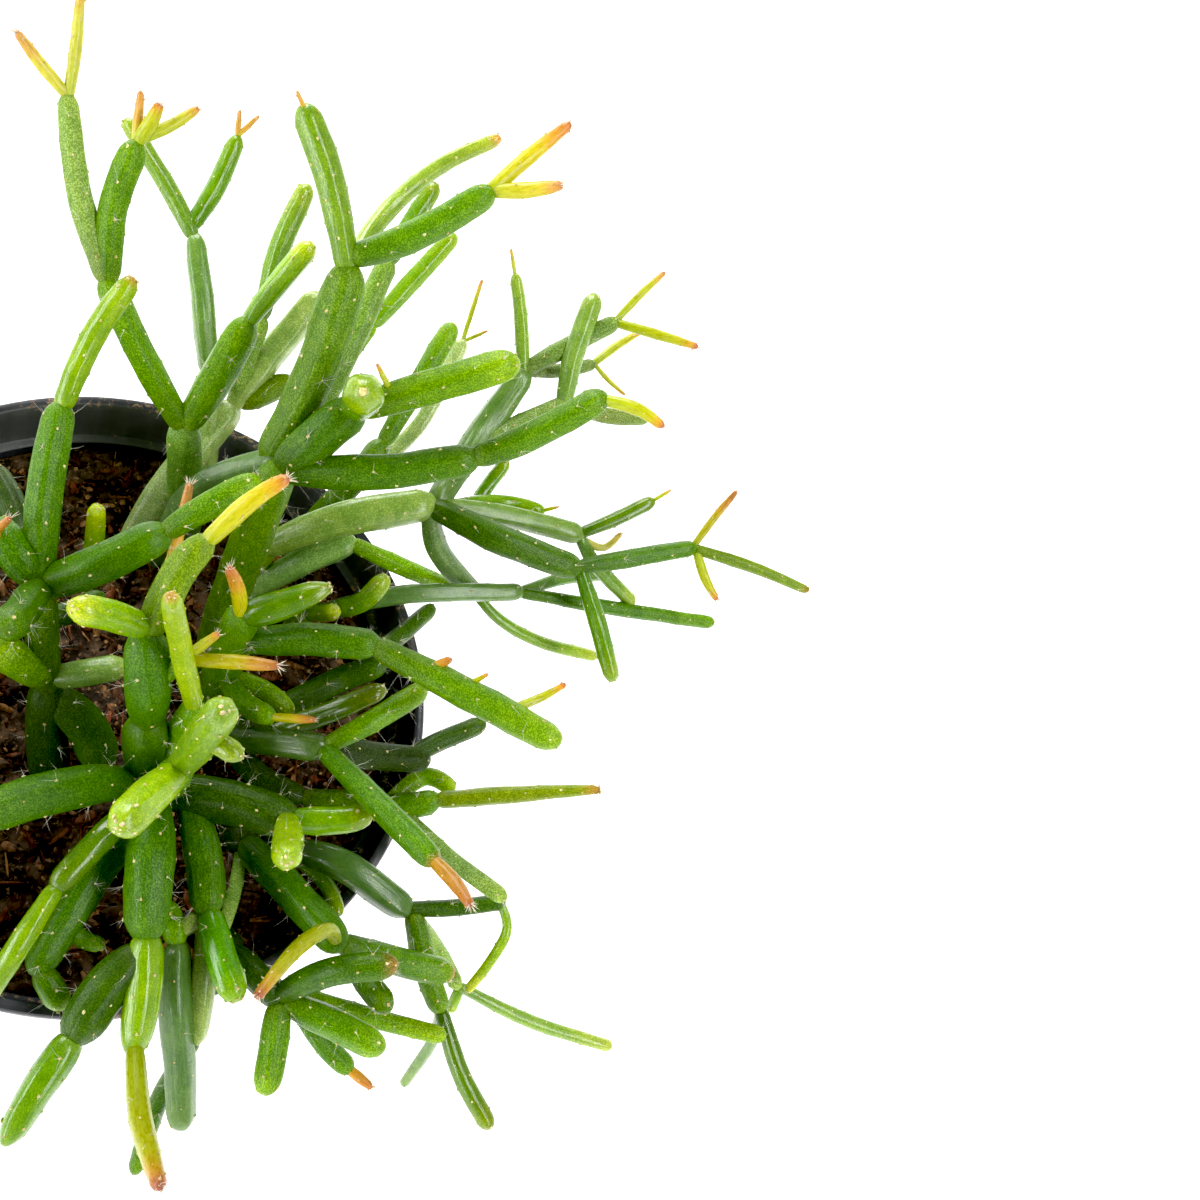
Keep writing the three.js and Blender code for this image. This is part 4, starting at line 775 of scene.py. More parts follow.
def turned(outline, sides):
    """A body turned round the upright axis: a ring for each (radius, height), then two poles."""
    outline = np.array(outline, dtype=float)
    radius, height = np.repeat(outline, sides, axis=0).T
    angle = np.tile(around(sides), len(outline))
    rings = np.stack([radius * np.cos(angle), radius * np.sin(angle), height], axis=-1)
    return np.concatenate([rings, ((0, 0, outline[0, 1]), (0, 0, outline[-1, 1]))])


class Parts:
    """Vertices, faces and their attributes, gathered from many small bodies into one mesh."""

    def __init__(self):
        self.count = 0
        self.points = []
        self.faces = []
        self.slots = []
        self.tints = []
        self.straights = []

    def add(self, points, faces, tint, straights=None, slot=0, gloss=0.0):
        """Adds bodies. Faces are arrays of corner numbers, three or four to a face."""
        self.points.append(points)
        glosses = np.full(len(points), gloss)
        self.tints.append(np.column_stack([np.broadcast_to(tint, points.shape), glosses]))
        self.straights.append(np.zeros_like(points) if straights is None else straights)
        for group in faces:
            self.faces.append(group + self.count)
            self.slots.append(np.full(len(group), slot))
        self.count += len(points)

    def add_many(self, bodies, rings, sides, tints):
        """Adds closed bodies of rings, one row of points for each, with a tint for each or each point."""
        steps = np.arange(len(bodies))[:, None, None] * bodies.shape[1]
        faces = [(group + steps).reshape(-1, group.shape[1]) for group in tube_faces(rings, sides)]
        tints = np.broadcast_to(tints, bodies.shape).reshape(-1, 3)
        self.add(bodies.reshape(-1, 3), faces, tints)

    def mesh(self, name, *materials):
        points = np.concatenate(self.points) * MM
        corners = np.concatenate([group.ravel() for group in self.faces])
        sizes = np.concatenate([np.full(len(group), group.shape[1]) for group in self.faces])
        starts = np.concatenate(([0], np.cumsum(sizes)[:-1]))
        mesh = bpy.data.meshes.new(name)
        mesh.vertices.add(len(points))
        mesh.vertices.foreach_set("co", points.astype(np.float32).ravel())
        mesh.loops.add(len(corners))
        mesh.loops.foreach_set("vertex_index", corners.astype(np.int32))
        mesh.polygons.add(len(sizes))
        mesh.polygons.foreach_set("loop_start", starts.astype(np.int32))
        mesh.polygons.foreach_set("loop_total", sizes.astype(np.int32))
        for material in materials:
            mesh.materials.append(material)
        mesh.polygons.foreach_set("material_index", np.concatenate(self.slots).astype(np.int32))
        mesh.update(calc_edges=True)
        mesh.validate()
        mesh.polygons.foreach_set("use_smooth", np.ones(len(mesh.polygons), dtype=bool))
        layer = mesh.attributes.new("tint", "FLOAT_COLOR", "POINT")
        layer.data.foreach_set("color", np.concatenate(self.tints).astype(np.float32).ravel())
        layer = mesh.attributes.new("straight", "FLOAT_VECTOR", "POINT")
        layer.data.foreach_set("vector", np.concatenate(self.straights).astype(np.float32).ravel())
        return mesh


def add_piece(name, mesh, replaced=None):
    piece = placed(name, mesh)
    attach(piece, "root")
    if replaced is not None:
        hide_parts(replaced)


# ---------------------------------------------------------------- the growth of the stems

SOIL_LEVEL = 91
# A root end lower than this is in the soil.
ROOTED_BELOW = SOIL_LEVEL - 2
# How near to its ends a segment carries others, as a share of its half-thickness, and among how many steps
# along it the nearest place is looked for.
SEAT_DEPTH = 0.6
SEAT_STEPS = 24
LINE_STEPS = 160
# The steps over which a line's direction and the skin's slope are measured, and the steepest slope used.
AIM_STEP = 0.4
SLOPE_STEP = 0.25
STEEPEST = 4
# A shoot's widths at places along it, as shares of its thickness and length.
SHOOT_PLACES = (0, 0.10, 0.3, 0.5, 0.72, 0.9, 1)
SHOOT_WIDTHS = (0.80, 0.94, 1.04, 1.05, 0.92, 0.74, 0.6)
# How many faint ribs there are, and their depth.
RIBS = (5, 0.042)
PALE_RIBS = (4, 0.085)
# The distance between a shoot's rows of scales.
SCALE_PITCH = 1.15


class Line:
    """A smooth curve through points, read by its length."""

    def __init__(self, points):
        points = np.asarray(points, dtype=float)
        if len(points) == 2:
            shares = np.linspace(0, 1, LINE_STEPS + 1)[:, None]
            track = points[0] * (1 - shares) + points[1] * shares
        else:
            track = self.curved(points)
        steps = np.linalg.norm(np.diff(track, axis=0), axis=1)
        self.track = track
        self.reach = np.concatenate(([0], np.cumsum(steps)))
        self.length = self.reach[-1]

    @staticmethod
    def curved(points):
        ends = np.array([2 * points[0] - points[1], *points, 2 * points[-1] - points[-2]])
        spans = len(points) - 1
        place = np.linspace(0, spans, LINE_STEPS + 1)
        span = np.minimum(place.astype(int), spans - 1)
        share = (place - span)[:, None]
        before, start, end, after = (ends[span + step] for step in range(4))
        leaving, arriving = (end - before) / 2, (after - start) / 2
        cubic = 2 * start - 2 * end + leaving + arriving
        square = -3 * start + 3 * end - 2 * leaving - arriving
        return cubic * share**3 + square * share**2 + leaving * share + start

    def at(self, shares):
        wanted = np.asarray(shares) * self.length
        return np.stack([np.interp(wanted, self.reach, self.track[:, axis]) for axis in range(3)], axis=-1)

    def along(self, shares):
        step = AIM_STEP / self.length
        shares = np.asarray(shares)
        return unit(self.at(np.clip(shares + step, 0, 1)) - self.at(np.clip(shares - step, 0, 1)))


def planned(place):
    """The point of an [across, down, height] place on the slanted plan."""
    across, down, height = place
    sight = SIGHT_AXIS + SIGHT_ACROSS * (across - PLAN_MIDDLE) / PLAN_REACH
    sight = sight + SIGHT_DOWN * (down - PLAN_MIDDLE) / PLAN_REACH
    return SIGHT_POINT + sight * (height - SIGHT_POINT[2]) / sight[2]


def measured(place):
    """The point of an [x, y, z] place."""
    return np.array(place, dtype=float)


class Segment:
    """One sausage-shaped segment: its centre line, skin, half-thickness, taper and make."""

    def __init__(self, name, skin, half, taper, line, random):
        self.name = name
        self.skin = skin
        self.half = half
        self.taper = taper
        self.line = line
        self.turn = random.uniform(0, 2 * math.pi)
        self.tone = random.uniform(-1, 1)
        self.place = random.uniform(-400, 400, 3)
        self.waves = random.uniform(0, 2 * math.pi, 4)
        self.areoles = np.zeros((0, 3))
        self.open_tip = True
        self.tone_and_painted_light = TONE_AND_PAINTED_LIGHT_OF.get(name, 1.0)
        self.ripe = RIPE.get(name, RIPE_FROM)
        chord = unit(line.at(1) - line.at(0))
        reference = np.array((1.0, 0, 0)) if abs(chord[2]) > 0.9 else np.array((0, 0, 1.0))
        self.reference = unit(reference - chord * np.dot(reference, chord))

    def end_lengths(self):
        """The lengths of the rounded root and tip of a grown segment."""
        length, half = self.line.length, self.half
        return min(1.2 * half, 0.3 * length), min(1.35 * half, 0.35 * length)

    def width(self, reach):
        """The share of the half-thickness at a distance from the root end."""
        length, half = self.line.length, self.half
        share = reach / length
        if self.skin == "shoot":
            body = np.interp(share, SHOOT_PLACES, SHOOT_WIDTHS)
            root_end, tip_end = min(0.9 * half, 0.2 * length), min(0.8 * half, 0.25 * length)
        else:
            body = 0.82 + 0.20 * smooth(share, 0.0, 0.42) - 0.07 * smooth(share, 0.72, 1.0)
            body = body * (1 + (self.taper - 1) * share)
            root_end, tip_end = self.end_lengths()
        root = np.clip(reach / root_end, 0, 1)
        tip = np.clip((length - reach) / tip_end, 0, 1)
        rounded_root = (1 - (1 - root) ** 2.2) ** (1 / 2.2)
        rounded_tip = np.sqrt(1 - (1 - tip) ** 2)
        return body * rounded_root * rounded_tip

    def radius(self, reach, angle):
        """The distance of the skin from the centre line, with faint ribs, waves and areole swellings."""
        first, second, third, fourth = self.waves
        if self.skin == "shoot":
            scaly = smooth(reach / self.line.length, self.ripe - 0.12, self.ripe + 0.08)
            scale = (reach / SCALE_PITCH + angle / (2 * math.pi) * 2 + first) % 1.0
            uneven = 1 + 0.03 * np.cos(5 * angle + second) + scaly * (0.16 * (1 - scale) - 0.05)
        else:
            ribs, depth = PALE_RIBS if self.skin == "pale" else RIBS
            rib = depth * np.cos(ribs * angle + first + reach * 0.04)
            wave = 0.026 * np.sin(reach * 0.50 + second) * np.cos(angle + third)
            long_wave = 0.024 * np.sin(reach * 0.23 + fourth)
            uneven = 1 + rib + wave + long_wave
        radius = self.half * self.width(reach) * uneven
        for centre, turn, swell in self.areoles:
            beside = np.abs((angle - turn + math.pi) % (2 * math.pi) - math.pi) * self.half
            apart = beside**2 + (reach - centre) ** 2
            radius = radius + swell * np.exp(-apart / (0.55 * self.half**0.5) ** 2 / 2)
        return radius

    def surface(self, reach, angle):
        """Points of the skin, with the outward direction and the direction of growth."""
        length = self.line.length
        shares = reach / length
        along = self.line.along(shares)
        sideways = unit(np.cross(along, self.reference))
        out = swung(angle, sideways, np.cross(along, sideways))
        point = self.line.at(shares) + out * self.radius(reach, angle)[..., None]
        ahead = self.half * self.width(np.clip(reach + SLOPE_STEP, 0, length))
        behind = self.half * self.width(np.clip(reach - SLOPE_STEP, 0, length))
        slope = (ahead - behind) / (2 * SLOPE_STEP)
        normal = unit(out - along * np.clip(slope, -STEEPEST, STEEPEST)[..., None])
        return point, normal, along


def seat_in(grown, root):
    """Where a segment's root sits: the nearest place well inside the segments already there."""
    best = (math.inf, root, 0)
    for parent in grown:
        inset = min(SEAT_DEPTH * parent.half / parent.line.length, 0.45)
        places = parent.line.at(np.linspace(inset, 1 - inset, SEAT_STEPS + 1))
        distances = np.linalg.norm(places - root, axis=1)
        nearest = int(np.argmin(distances))
        if distances[nearest] < best[0]:
            best = (distances[nearest], places[nearest], parent.half)
    return best


def grow(rows, lay_out, random):
    """The segments of a stem, each seated in an earlier one, and which of their tips are free."""
    grown = []
    for name, skin, thickness, route, *taper in rows:
        points = [lay_out(place) for place in route]
        half = thickness / 2
        if points[0][2] >= ROOTED_BELOW:
            distance, seat, depth = seat_in(grown, points[0])
            if distance < half + depth:
                points[0] = seat
            else:
                points.insert(0, seat)
        grown.append(Segment(name, skin, half, taper[0] if taper else 1, Line(points), random))
    roots = np.array([segment.line.at(0.0) for segment in grown])
    for segment in grown:
        nearest = np.linalg.norm(roots - segment.line.at(1.0), axis=1).min()
        segment.open_tip = nearest > 1.3 * segment.half + 0.3
    return grown


# ---------------------------------------------------------------- skins

# Each skin's tints at its root, its middle and its tip.
SKIN_TINTS = {
    "old": (0x385808, 0x416805, 0x4b7508),
    "mid": (0x436e05, 0x4e8002, 0x69980a),
    "fresh": (0x5c9008, 0x72a40a, 0x9cba1a),
    "pale": (0x5a8236, 0x608c3a, 0x70983e),
}
# A shoot's tints, from green-yellow over yellow to the orange and rust of its ripe end.
SHOOT_TINTS = (0xa8c018, 0xced01a, 0xe2d420, 0xecb234, 0xd98c42, 0xbc6c50)
# How far up a shoot its ripe end starts, as a share of its length, and the shoots where it starts elsewhere.
RIPE_FROM = 0.84
RIPE = {
    "yellow_shoot": 0.80, "orange_climber": 0.62, "mr_orange": 0.58, "orange_shoot": 0.66,
    "crown_tip_a": 0.70, "crown_tip_b": 0.76, "back_tip_b": 0.62, "back_tip_c": 0.35, "rear_tip_a": 0.1,
    "rear_tip_b": 0.1, "main_bud": 0.2, "right_thin_a": 0.6, "mr_bud_a": 0.5, "left_out_bud": 0.3,
    "mr_low_tip": 0.6, "low_spear_tip": 0.0, "sl_under_tip": 0.0,
}
# How glossy each skin is, from 0 to 1.
GLOSSES = {"old": 0.15, "mid": 0.35, "fresh": 0.8, "pale": 0.65, "shoot": 0.6}
# How light segments are against their skin's own tints: partly their own tone, old growth darker and young
# growth lighter, and partly painted light and shade, darker where a segment lies in shade and lighter where
# it is lit.
TONE_AND_PAINTED_LIGHT = {
    0.42: """south_root sl_root low_shadow left_out_low""",
    0.55: """rim_arm low_olive low_under low_shadow_tip right_arm""",
    0.66: """left_root front_left_thin low_arm""",
    0.75: """low_spear_tip right_down sl_up mr_finger se_right right_grey_a left_near front_shoot trunk_low
        south_under knob_side orange_shoot right_thin_a south_hook se_arm sl_arm se_drop_tip light_arm""",
    1.25: """main_tower main_cap right_tip right_grey eye_finger front_left_glossy lime_spear right_finger
        low_out south_side fork_up pale_spear rear_left low_finger crown_tip_b right_trail sl_under mr_foot
        back_tip_e bud_small arm_bud right_drop right_high left_gloss low_bright right_grey_b""",
    1.4: """left_tower se_low_tip back_tip_c orange_climber rear_tip_a rear_tip_b fan_a
        right_front_drop rear_arm low_back fan_c_down""",
    1.55: """right_long main_crown back_left_arm sl_right left_bar_tip rim_drop lime_finger left_neck
        sl_drop main_behind low_up back_right_tip se_back_tip main_low_tip shade_long back_left_pillar
        se_drop mr_low fan_b low_wide_tip south_grey mr_down shade_foot
        low_wide sprout shade_arm stub short_finger low_stub back_tip_a back_tip_b
        fan_a_tip main_bud front_left_end""",
    1.85: """main_foot back_left_tall back_right_arm arm_tip crown_back fork_stem middle_arm
        sl_long grey_drop_back left_low low_deep mr_under se_hook fan_c se_back_low se_root left_cross""",
    2.3: """pale_foot back_base middle_out pale_hidden fork_out se_back rear_base low_foot pale_long
        pale_dark right_foot hidden_twig low_side right_grey_c main_low shade_pale""",
}
TONE_AND_PAINTED_LIGHT_OF = {name: tone_and_painted_light for tone_and_painted_light, names in TONE_AND_PAINTED_LIGHT.items() for name in names.split()}
# Segments with a grey bloom over their green.
BLOOMED = """back_left_tall pale_long pale_foot pale_hidden pale_spear right_long right_grey
    right_grey_b low_long low_deep se_back_tip se_back grey_drop_back south_grey shade_pale
    main_side fork_up fork_out fork_stem fan_stem fan_a fan_b fan_c right_trail crown_back rear_left
    rear_base main_behind right_drop""".split()
# Segments that stand out from their skin's kind, with a tint and a gloss of their own.
OLIVE = 0x7f9a12
OWN_TINTS = {
    "lime_spear": (0x9dba16, 0.9),
    "left_tower": (0x487808, 0.35),
    "back_base": (0x44742e, 0.3),
    "rim_drop": (0x528406, 0.8),
    "main_tower": (0x5a8412, 0.4),
    "main_cap": (0x6a9618, 0.7),
    "left_gloss": (0x82a806, 1.0),
    "front_left_glossy": (0x78a408, 1.0),
    "right_front_drop": (0x4c8c00, 0.8),
    "right_thin_b": (OLIVE, 0.5),
    "low_bright": (OLIVE, 0.5),
    "front_drop": (0x8cb412, 0.9),
    "knob_down": (0x9cc214, 0.8),
    "knob_up": (0x82a814, 0.6),
    "knob_side": (0x9cba20, 0.6),
    "eye_finger": (0x94b816, 0.7),
    "crown_back": (0x6a9c18, 0.9),
    "main_low_tip": (0x6ea01a, 0.9),
    "fork_up": (0x74a422, 0.9),
    "low_spear": (0x5c9408, 0.35),
    "light_arm": (0x8cb010, 0.45),
}
# Green segments with a brownish end, and how far up it starts.
BROWN_ENDS = {
    "low_bright": 0.84, "right_thin_b": 0.9, "crown_back": 0.93, "left_gloss": 0.93, "lime_spear": 0.96,
    "south_side": 0.92, "sl_up": 0.88, "low_spear": 0.95,
}
# Tints that are laid over a segment's own: pale yellow on light shoots, as painted light, and on the rest
# brown at some ends, yellow-green at the joint and a grey bloom. The numbers say how strongly.
PALE_YELLOW_PAINTED_LIGHT = linear(0xf7ea8c)
PALE_YELLOW_PAINTED_LIGHT_SHARE = 0.45
BROWN_END = linear(0xb9852c)
BROWN_END_SHARE = 0.85
JOINT_TINT = linear(0x86a83c)
JOINT_SHARE = 0.16
BLOOM = linear(0x9dac86)
BLOOM_SHARE = 0.13
# The lower part of a shoot that isn't in RIPE is a little darker and greener.
GREENER_SHOOT = (0.82, 0.97, 0.9)
# How red, green and blue follow a segment's tone and painted light, when it is above 1 and otherwise.
LIGHTER_POWERS = np.array((1.45, 1.0, 1.3))
DARKER_POWERS = np.array((0.9, 1.0, 1.2))
# Segments with more gloss than this have the young skin.
GLOSSY = 0.5
RING_STEP = 1.25
# How far round their rounded ends the root's rings and the tip's lie, as shares of a quarter turn.
ROOT_RINGS = np.array((0.22, 0.42, 0.62, 0.82))
TIP_RINGS = np.array((0.18, 0.36, 0.54, 0.70, 0.84, 0.94))
# How many sides a segment has when its half-thickness is over a size.
SIDES = ((2.4, 22), (1.6, 18), (0.9, 14), (0.0, 10))


def shoot_tints(segment, share):
    stops = np.array([linear(tint) for tint in SHOOT_TINTS])
    places = (0.0, 0.22 * segment.ripe, 0.9 * segment.ripe, segment.ripe + 0.08, 0.96, 1.0)
    if segment.name not in RIPE:
        stops[1:3] = stops[1:3] * GREENER_SHOOT
    tint = np.stack([np.interp(share, places, stops[:, part]) for part in range(3)], axis=-1)
    # Painted light: a lit shoot is mixed towards pale yellow and a shaded one darkened.
    light = max(segment.tone_and_painted_light - 1, 0)
    return toward(tint, PALE_YELLOW_PAINTED_LIGHT, PALE_YELLOW_PAINTED_LIGHT_SHARE * light) * min(segment.tone_and_painted_light, 1)


def segment_tints(segment, reach, angle):
    """The skin's tint at every point: lighter to the tip, paler at the joint, uneven around, and lightened
    or darkened by the segment's painted light and shade.
    """
    share = reach / segment.line.length
    if segment.skin == "shoot":
        return shoot_tints(segment, share)
    root, middle, tip = (linear(tint) for tint in SKIN_TINTS[segment.skin])
    if segment.name in OWN_TINTS:
        middle = linear(OWN_TINTS[segment.name][0])
        root, tip = middle * (0.85, 0.9, 0.9), toward(middle, tip, 0.4)
    tint = toward(root, middle, smooth(share, 0.05, 0.45)[..., None])
    lightened = smooth(share, 0.62, 1.0) * (1.0 if segment.open_tip else 0.35)
    tint = toward(tint, tip, lightened[..., None])
    if segment.name in BROWN_ENDS:
        browned = smooth(share, BROWN_ENDS[segment.name], 1.0)[..., None]
        tint = toward(tint, BROWN_END, BROWN_END_SHARE * browned)
    joint = np.exp(-((reach - 0.5 * segment.half) / (0.40 * segment.half)) ** 2)
    tint = toward(tint, JOINT_TINT, (JOINT_SHARE * joint)[..., None])
    if segment.name in BLOOMED:
        tint = toward(tint, BLOOM, BLOOM_SHARE)
    uneven = 1 + 0.05 * segment.tone + 0.05 * np.cos(angle + segment.waves[0])
    warm = np.array((1 + 0.05 * math.sin(segment.waves[1]), 1, 1 + 0.3 * math.sin(segment.waves[2])))
    # Painted light and shade: the whole segment is lightened or darkened, partly for its own tone and partly
    # for the light it gets.
    painted_light_lift = segment.tone_and_painted_light ** (LIGHTER_POWERS if segment.tone_and_painted_light > 1 else DARKER_POWERS)
    return tint * uneven[..., None] * warm * painted_light_lift


def ring_reaches(segment):
    """Distances of the rings from the root end, close together in the rounded ends."""
    length = segment.line.length
    root_end, tip_end = segment.end_lengths()
    steps = max(3, round((length - root_end - tip_end) / RING_STEP))
    root = root_end * (1 - np.cos(ROOT_RINGS * math.pi / 2))
    body = np.linspace(root_end, length - tip_end, steps + 1)
    tip = length - tip_end * (1 - np.sin(TIP_RINGS * math.pi / 2))
    return np.concatenate([root, body, tip])


def add_skin(parts, segment):
    """One segment's skin: rings of points from its root end to its tip, closed by a pole at each."""
    half, length = segment.half, segment.line.length
    sides = next(number for over, number in SIDES if half > over)
    reaches = ring_reaches(segment)
    reach = np.repeat(reaches, sides)
    angle = np.tile(around(sides), len(reaches))
    points, _, _ = segment.surface(reach, angle)
    points = np.concatenate([points, segment.line.at(np.array((0.0, 1.0)))])
    reach = np.concatenate([reach, (0, length)])
    angle = np.concatenate([angle, (0, 0)])
    spread = half * np.concatenate([np.ones(len(angle) - 2), (0, 0)])
    straight = np.stack([spread * np.cos(angle), spread * np.sin(angle), reach], axis=-1) + segment.place
    if segment.name in OWN_TINTS:
        gloss = OWN_TINTS[segment.name][1]
    else:
        gloss = np.clip(GLOSSES[segment.skin] + 0.15 * segment.tone, 0, 1)
    slot = 1 if segment.skin == "shoot" else 2 if gloss > GLOSSY else 0
    faces = tube_faces(len(reaches), sides)
    parts.add(points, faces, segment_tints(segment, reach, angle), straight, slot, gloss)


# ---------------------------------------------------------------- areoles and hairs

AREOLE_STEPS = {"old": 1.35, "mid": 1.2, "fresh": 1.25, "pale": 1.8, "shoot": 0.8}
AREOLE_SIZES = {"old": 0.22, "mid": 0.22, "fresh": 0.22, "pale": 0.19, "shoot": 0.20}
# How much larger the areoles are at a free tip, as a share of their size.
TIP_GROWTHS = {"old": 0.1, "mid": 0.3, "fresh": 0.35, "pale": 0.1, "shoot": 0.3}
HAIR_COUNTS = {"old": 2.1, "mid": 1.9, "fresh": 0.9, "pale": 0.8, "shoot": 1.5}
HAIR_LENGTHS = {"old": 2.4, "mid": 2.3, "fresh": 1.3, "pale": 2.0, "shoot": 0.9}
TIP_BRISTLES = {"old": 0, "mid": 2, "fresh": 3, "pale": 0, "shoot": 16}
# Segments whose areoles are large and woolly.
WOOLLY = ("knob_up", "knob_side", "knob_down", "eye_finger", "left_near", "lime_finger", "stub")
WOOLLY_GROWTH = 1.1
# An areole is drawn where it is further than this share of its half-thickness from every other segment,
# measured from so many places along it.
CLEAR_SHARE = 0.98
CLEAR_PLACES = 40
# The segment that faces the camera and ends in one large areole.
EYED = "arm_eye"
EYE_SIZE = 0.85
CREAM, TAN, RUST = linear(0xf4ecb4), linear(0xd6bd7a), linear(0xc47a50)
SKIRT_GREEN = linear(0xb9cf7c)
EYE_CREAM, EYE_GREEN = linear(0xf3e9a6), linear(0xc6c86a)
CLUSTER_CREAM, CLUSTER_GREEN = linear(0xf0e2b4), linear(0xb9b868)
HAIR_WHITE = linear(0xf8f7ee)
BRISTLE_CREAM, BRISTLE_ORANGE = linear(0xf6efdc), linear(0xe0b088)
HAIR_RADIUS = 0.024
BRISTLE_RADIUS = 0.04
SHOOT_BRISTLE_RADIUS = 0.075
MOST_HAIRS = 8
SPIRAL_TURN = 2 * math.pi * 0.3873
DOME_SIDES = 7
SPIKE_SIDES = 3
# The rings of a spike, as shares of its length and of its thickness.
SPIKE_RINGS = ((0, 1.0), (0.36, 0.85), (0.72, 0.55))


def place_areoles(segment, random):
    """Areoles in a spiral up the segment, closer together at its tip, each (reach, angle, swelling)."""
    length, half = segment.line.length, segment.half
    step = AREOLE_STEPS[segment.skin] * (0.75 + 0.7 / max(half, 1.4))
    crowding = 0.5 if segment.open_tip else 0.1
    reach = 0.35 * length if segment.skin == "shoot" else 0.9 * half + 0.4
    end = 1.7 * half if segment.name == EYED else 0.25 * half
    turn = segment.turn
    places = []
    while reach < length - end:
        nearing = smooth(reach, length - 2.6 * half, length - 0.4 * half)
        sway = random.normal(0, 0.12, 2)
        places.append((reach + 0.5 * sway[0], turn + sway[1], 0.05 * half**0.5))
        turn += SPIRAL_TURN
        reach += step * (1 - crowding * nearing)
    segment.areoles = np.array(places).reshape(-1, 3)


def clear_of_others(points, segment, grown):
    """Which points lie outside every other segment of the stem."""
    clear = np.ones(len(points), dtype=bool)
    for other in grown:
        if other is segment:
            continue
        inset = min(0.3 * other.half / other.line.length, 0.4)
        track = other.line.at(np.linspace(inset, 1 - inset, CLEAR_PLACES))
        apart = np.linalg.norm(track.mean(axis=0) - points.mean(axis=0))
        if apart > other.line.length + segment.line.length:
            continue
        gaps = np.linalg.norm(points[:, None] - track[None], axis=2).min(axis=1)
        clear &= gaps > other.half * CLEAR_SHARE
    return clear


def add_domes(parts, random, points, normals, along, sizes, felts, skirts):
    """Low woolly cushions, each a skirt, a crown ring, a pole under the skin and a top."""
    across = unit(np.cross(normals, along))
    growth = np.cross(across, normals)
    circle = swung(around(DOME_SIDES)[:, None], growth * 1.25, across).transpose(1, 0, 2)
    circle = circle * random.uniform(0.7, 1.25, (len(points), DOME_SIDES, 1))
    size = sizes[:, None, None]
    skirt = points[:, None] + circle * size - normals[:, None] * 0.03
    crown = points[:, None] + circle * size * 0.62 + normals[:, None] * size * 0.42
    under = points - normals * 0.3
    top = points + normals * (sizes * 0.62)[:, None] + growth * (sizes * 0.2)[:, None]
    bodies = np.concatenate([skirt, crown, under[:, None], top[:, None]], axis=1)
    pairs = np.stack([skirts, felts], axis=1)
    tints = pairs[:, [0] * DOME_SIDES + [1] * DOME_SIDES + [0, 1]]
    parts.add_many(bodies, 2, DOME_SIDES, tints)


def add_spikes(parts, roots, aims, bends, lengths, radii, tints):
    """Hairs and bristles: three-sided spikes that bend as they go, each closed at its root."""
    side = unit(np.cross(aims, bends + np.array((0.01, 0.02, 0.03))))
    other = np.cross(aims, side)
    rings = []
    for share, wide in SPIKE_RINGS:
        centre = roots + aims * (lengths * share)[:, None] + bends * (lengths * share**2)[:, None]
        for angle in around(SPIKE_SIDES):
            rings.append(centre + swung(angle, side, other) * (radii * wide)[:, None])
    root = roots - aims * 0.05
    tip = roots + aims * lengths[:, None] + bends * lengths[:, None]
    parts.add_many(np.stack([*rings, root, tip], axis=1), len(SPIKE_RINGS), SPIKE_SIDES, tints[:, None])


def add_areoles(domes, hairs, segment, grown, random):
    """Woolly cushions where the skin is free, with tufts of white hairs on them."""
    if not len(segment.areoles):
        return
    length, half, skin = segment.line.length, segment.half, segment.skin
    reach, angle, _ = segment.areoles.T
    points, normals, along = segment.surface(np.clip(reach, 0, length - 0.02), angle)
    clear = clear_of_others(points, segment, grown)
    clear &= points[:, 2] > SOIL_LEVEL + 0.5
    count = np.count_nonzero(clear)
    if not count:
        return
    points, normals, along, reach, angle = (each[clear] for each in (points, normals, along, reach, angle))
    at_tip = smooth(reach, length - 2.4 * half, length - 0.3 * half)
    sizes = AREOLE_SIZES[skin] * random.uniform(0.7, 1.35, count) * min(1.15, 0.6 + half / 6)
    if segment.open_tip:
        sizes = sizes * (1 + TIP_GROWTHS[skin] * at_tip)
    if segment.name in WOOLLY:
        sizes = sizes * WOOLLY_GROWTH
    felts = toward(CREAM, TAN, (random.uniform(0, 1, count) ** 1.8)[:, None])
    if skin == "shoot":
        felts = toward(felts, RUST, random.uniform(0.0, 0.6, count)[:, None])
    skirts = toward(segment_tints(segment, reach, angle), SKIRT_GREEN, 0.35)
    add_domes(domes, random, points, normals, along, sizes, felts, skirts)
    add_hairs(hairs, random, skin, points, normals, along, sizes, at_tip)


def add_hairs(hairs, random, skin, points, normals, along, sizes, at_tip):
    """Tufts of white hairs on areoles, fuller on some than on others."""
    count = len(points)
    bushy = random.gamma(1.1, 0.9, count)
    numbers = random.poisson(HAIR_COUNTS[skin] * bushy * (1 + 0.3 * at_tip))
    owner = np.repeat(np.arange(count), np.minimum(numbers, MOST_HAIRS))
    many = len(owner)
    if not many:
        return
    normal, growth = normals[owner], along[owner]
    spread = random.normal(0, 1, (many, 3))
    aims = unit(normal * 0.9 + growth * 0.35 + spread * 0.42)
    aims = unit(aims + normal * np.clip(0.25 - np.sum(aims * normal, axis=1), 0, 1)[:, None] * 1.6)
    bends = random.normal(0, 0.22, (many, 3)) + np.array((0, 0, -0.08))
    lengths = HAIR_LENGTHS[skin] * random.uniform(0.35, 1.4, many)
    radii = HAIR_RADIUS * random.uniform(0.75, 1.25, many)
    tints = HAIR_WHITE * random.uniform(0.8, 1.0, many)[:, None]
    roots = points[owner] + normal * (sizes[owner] * 0.3)[:, None] + spread * 0.06
    add_spikes(hairs, roots, aims, bends, lengths, radii, tints)


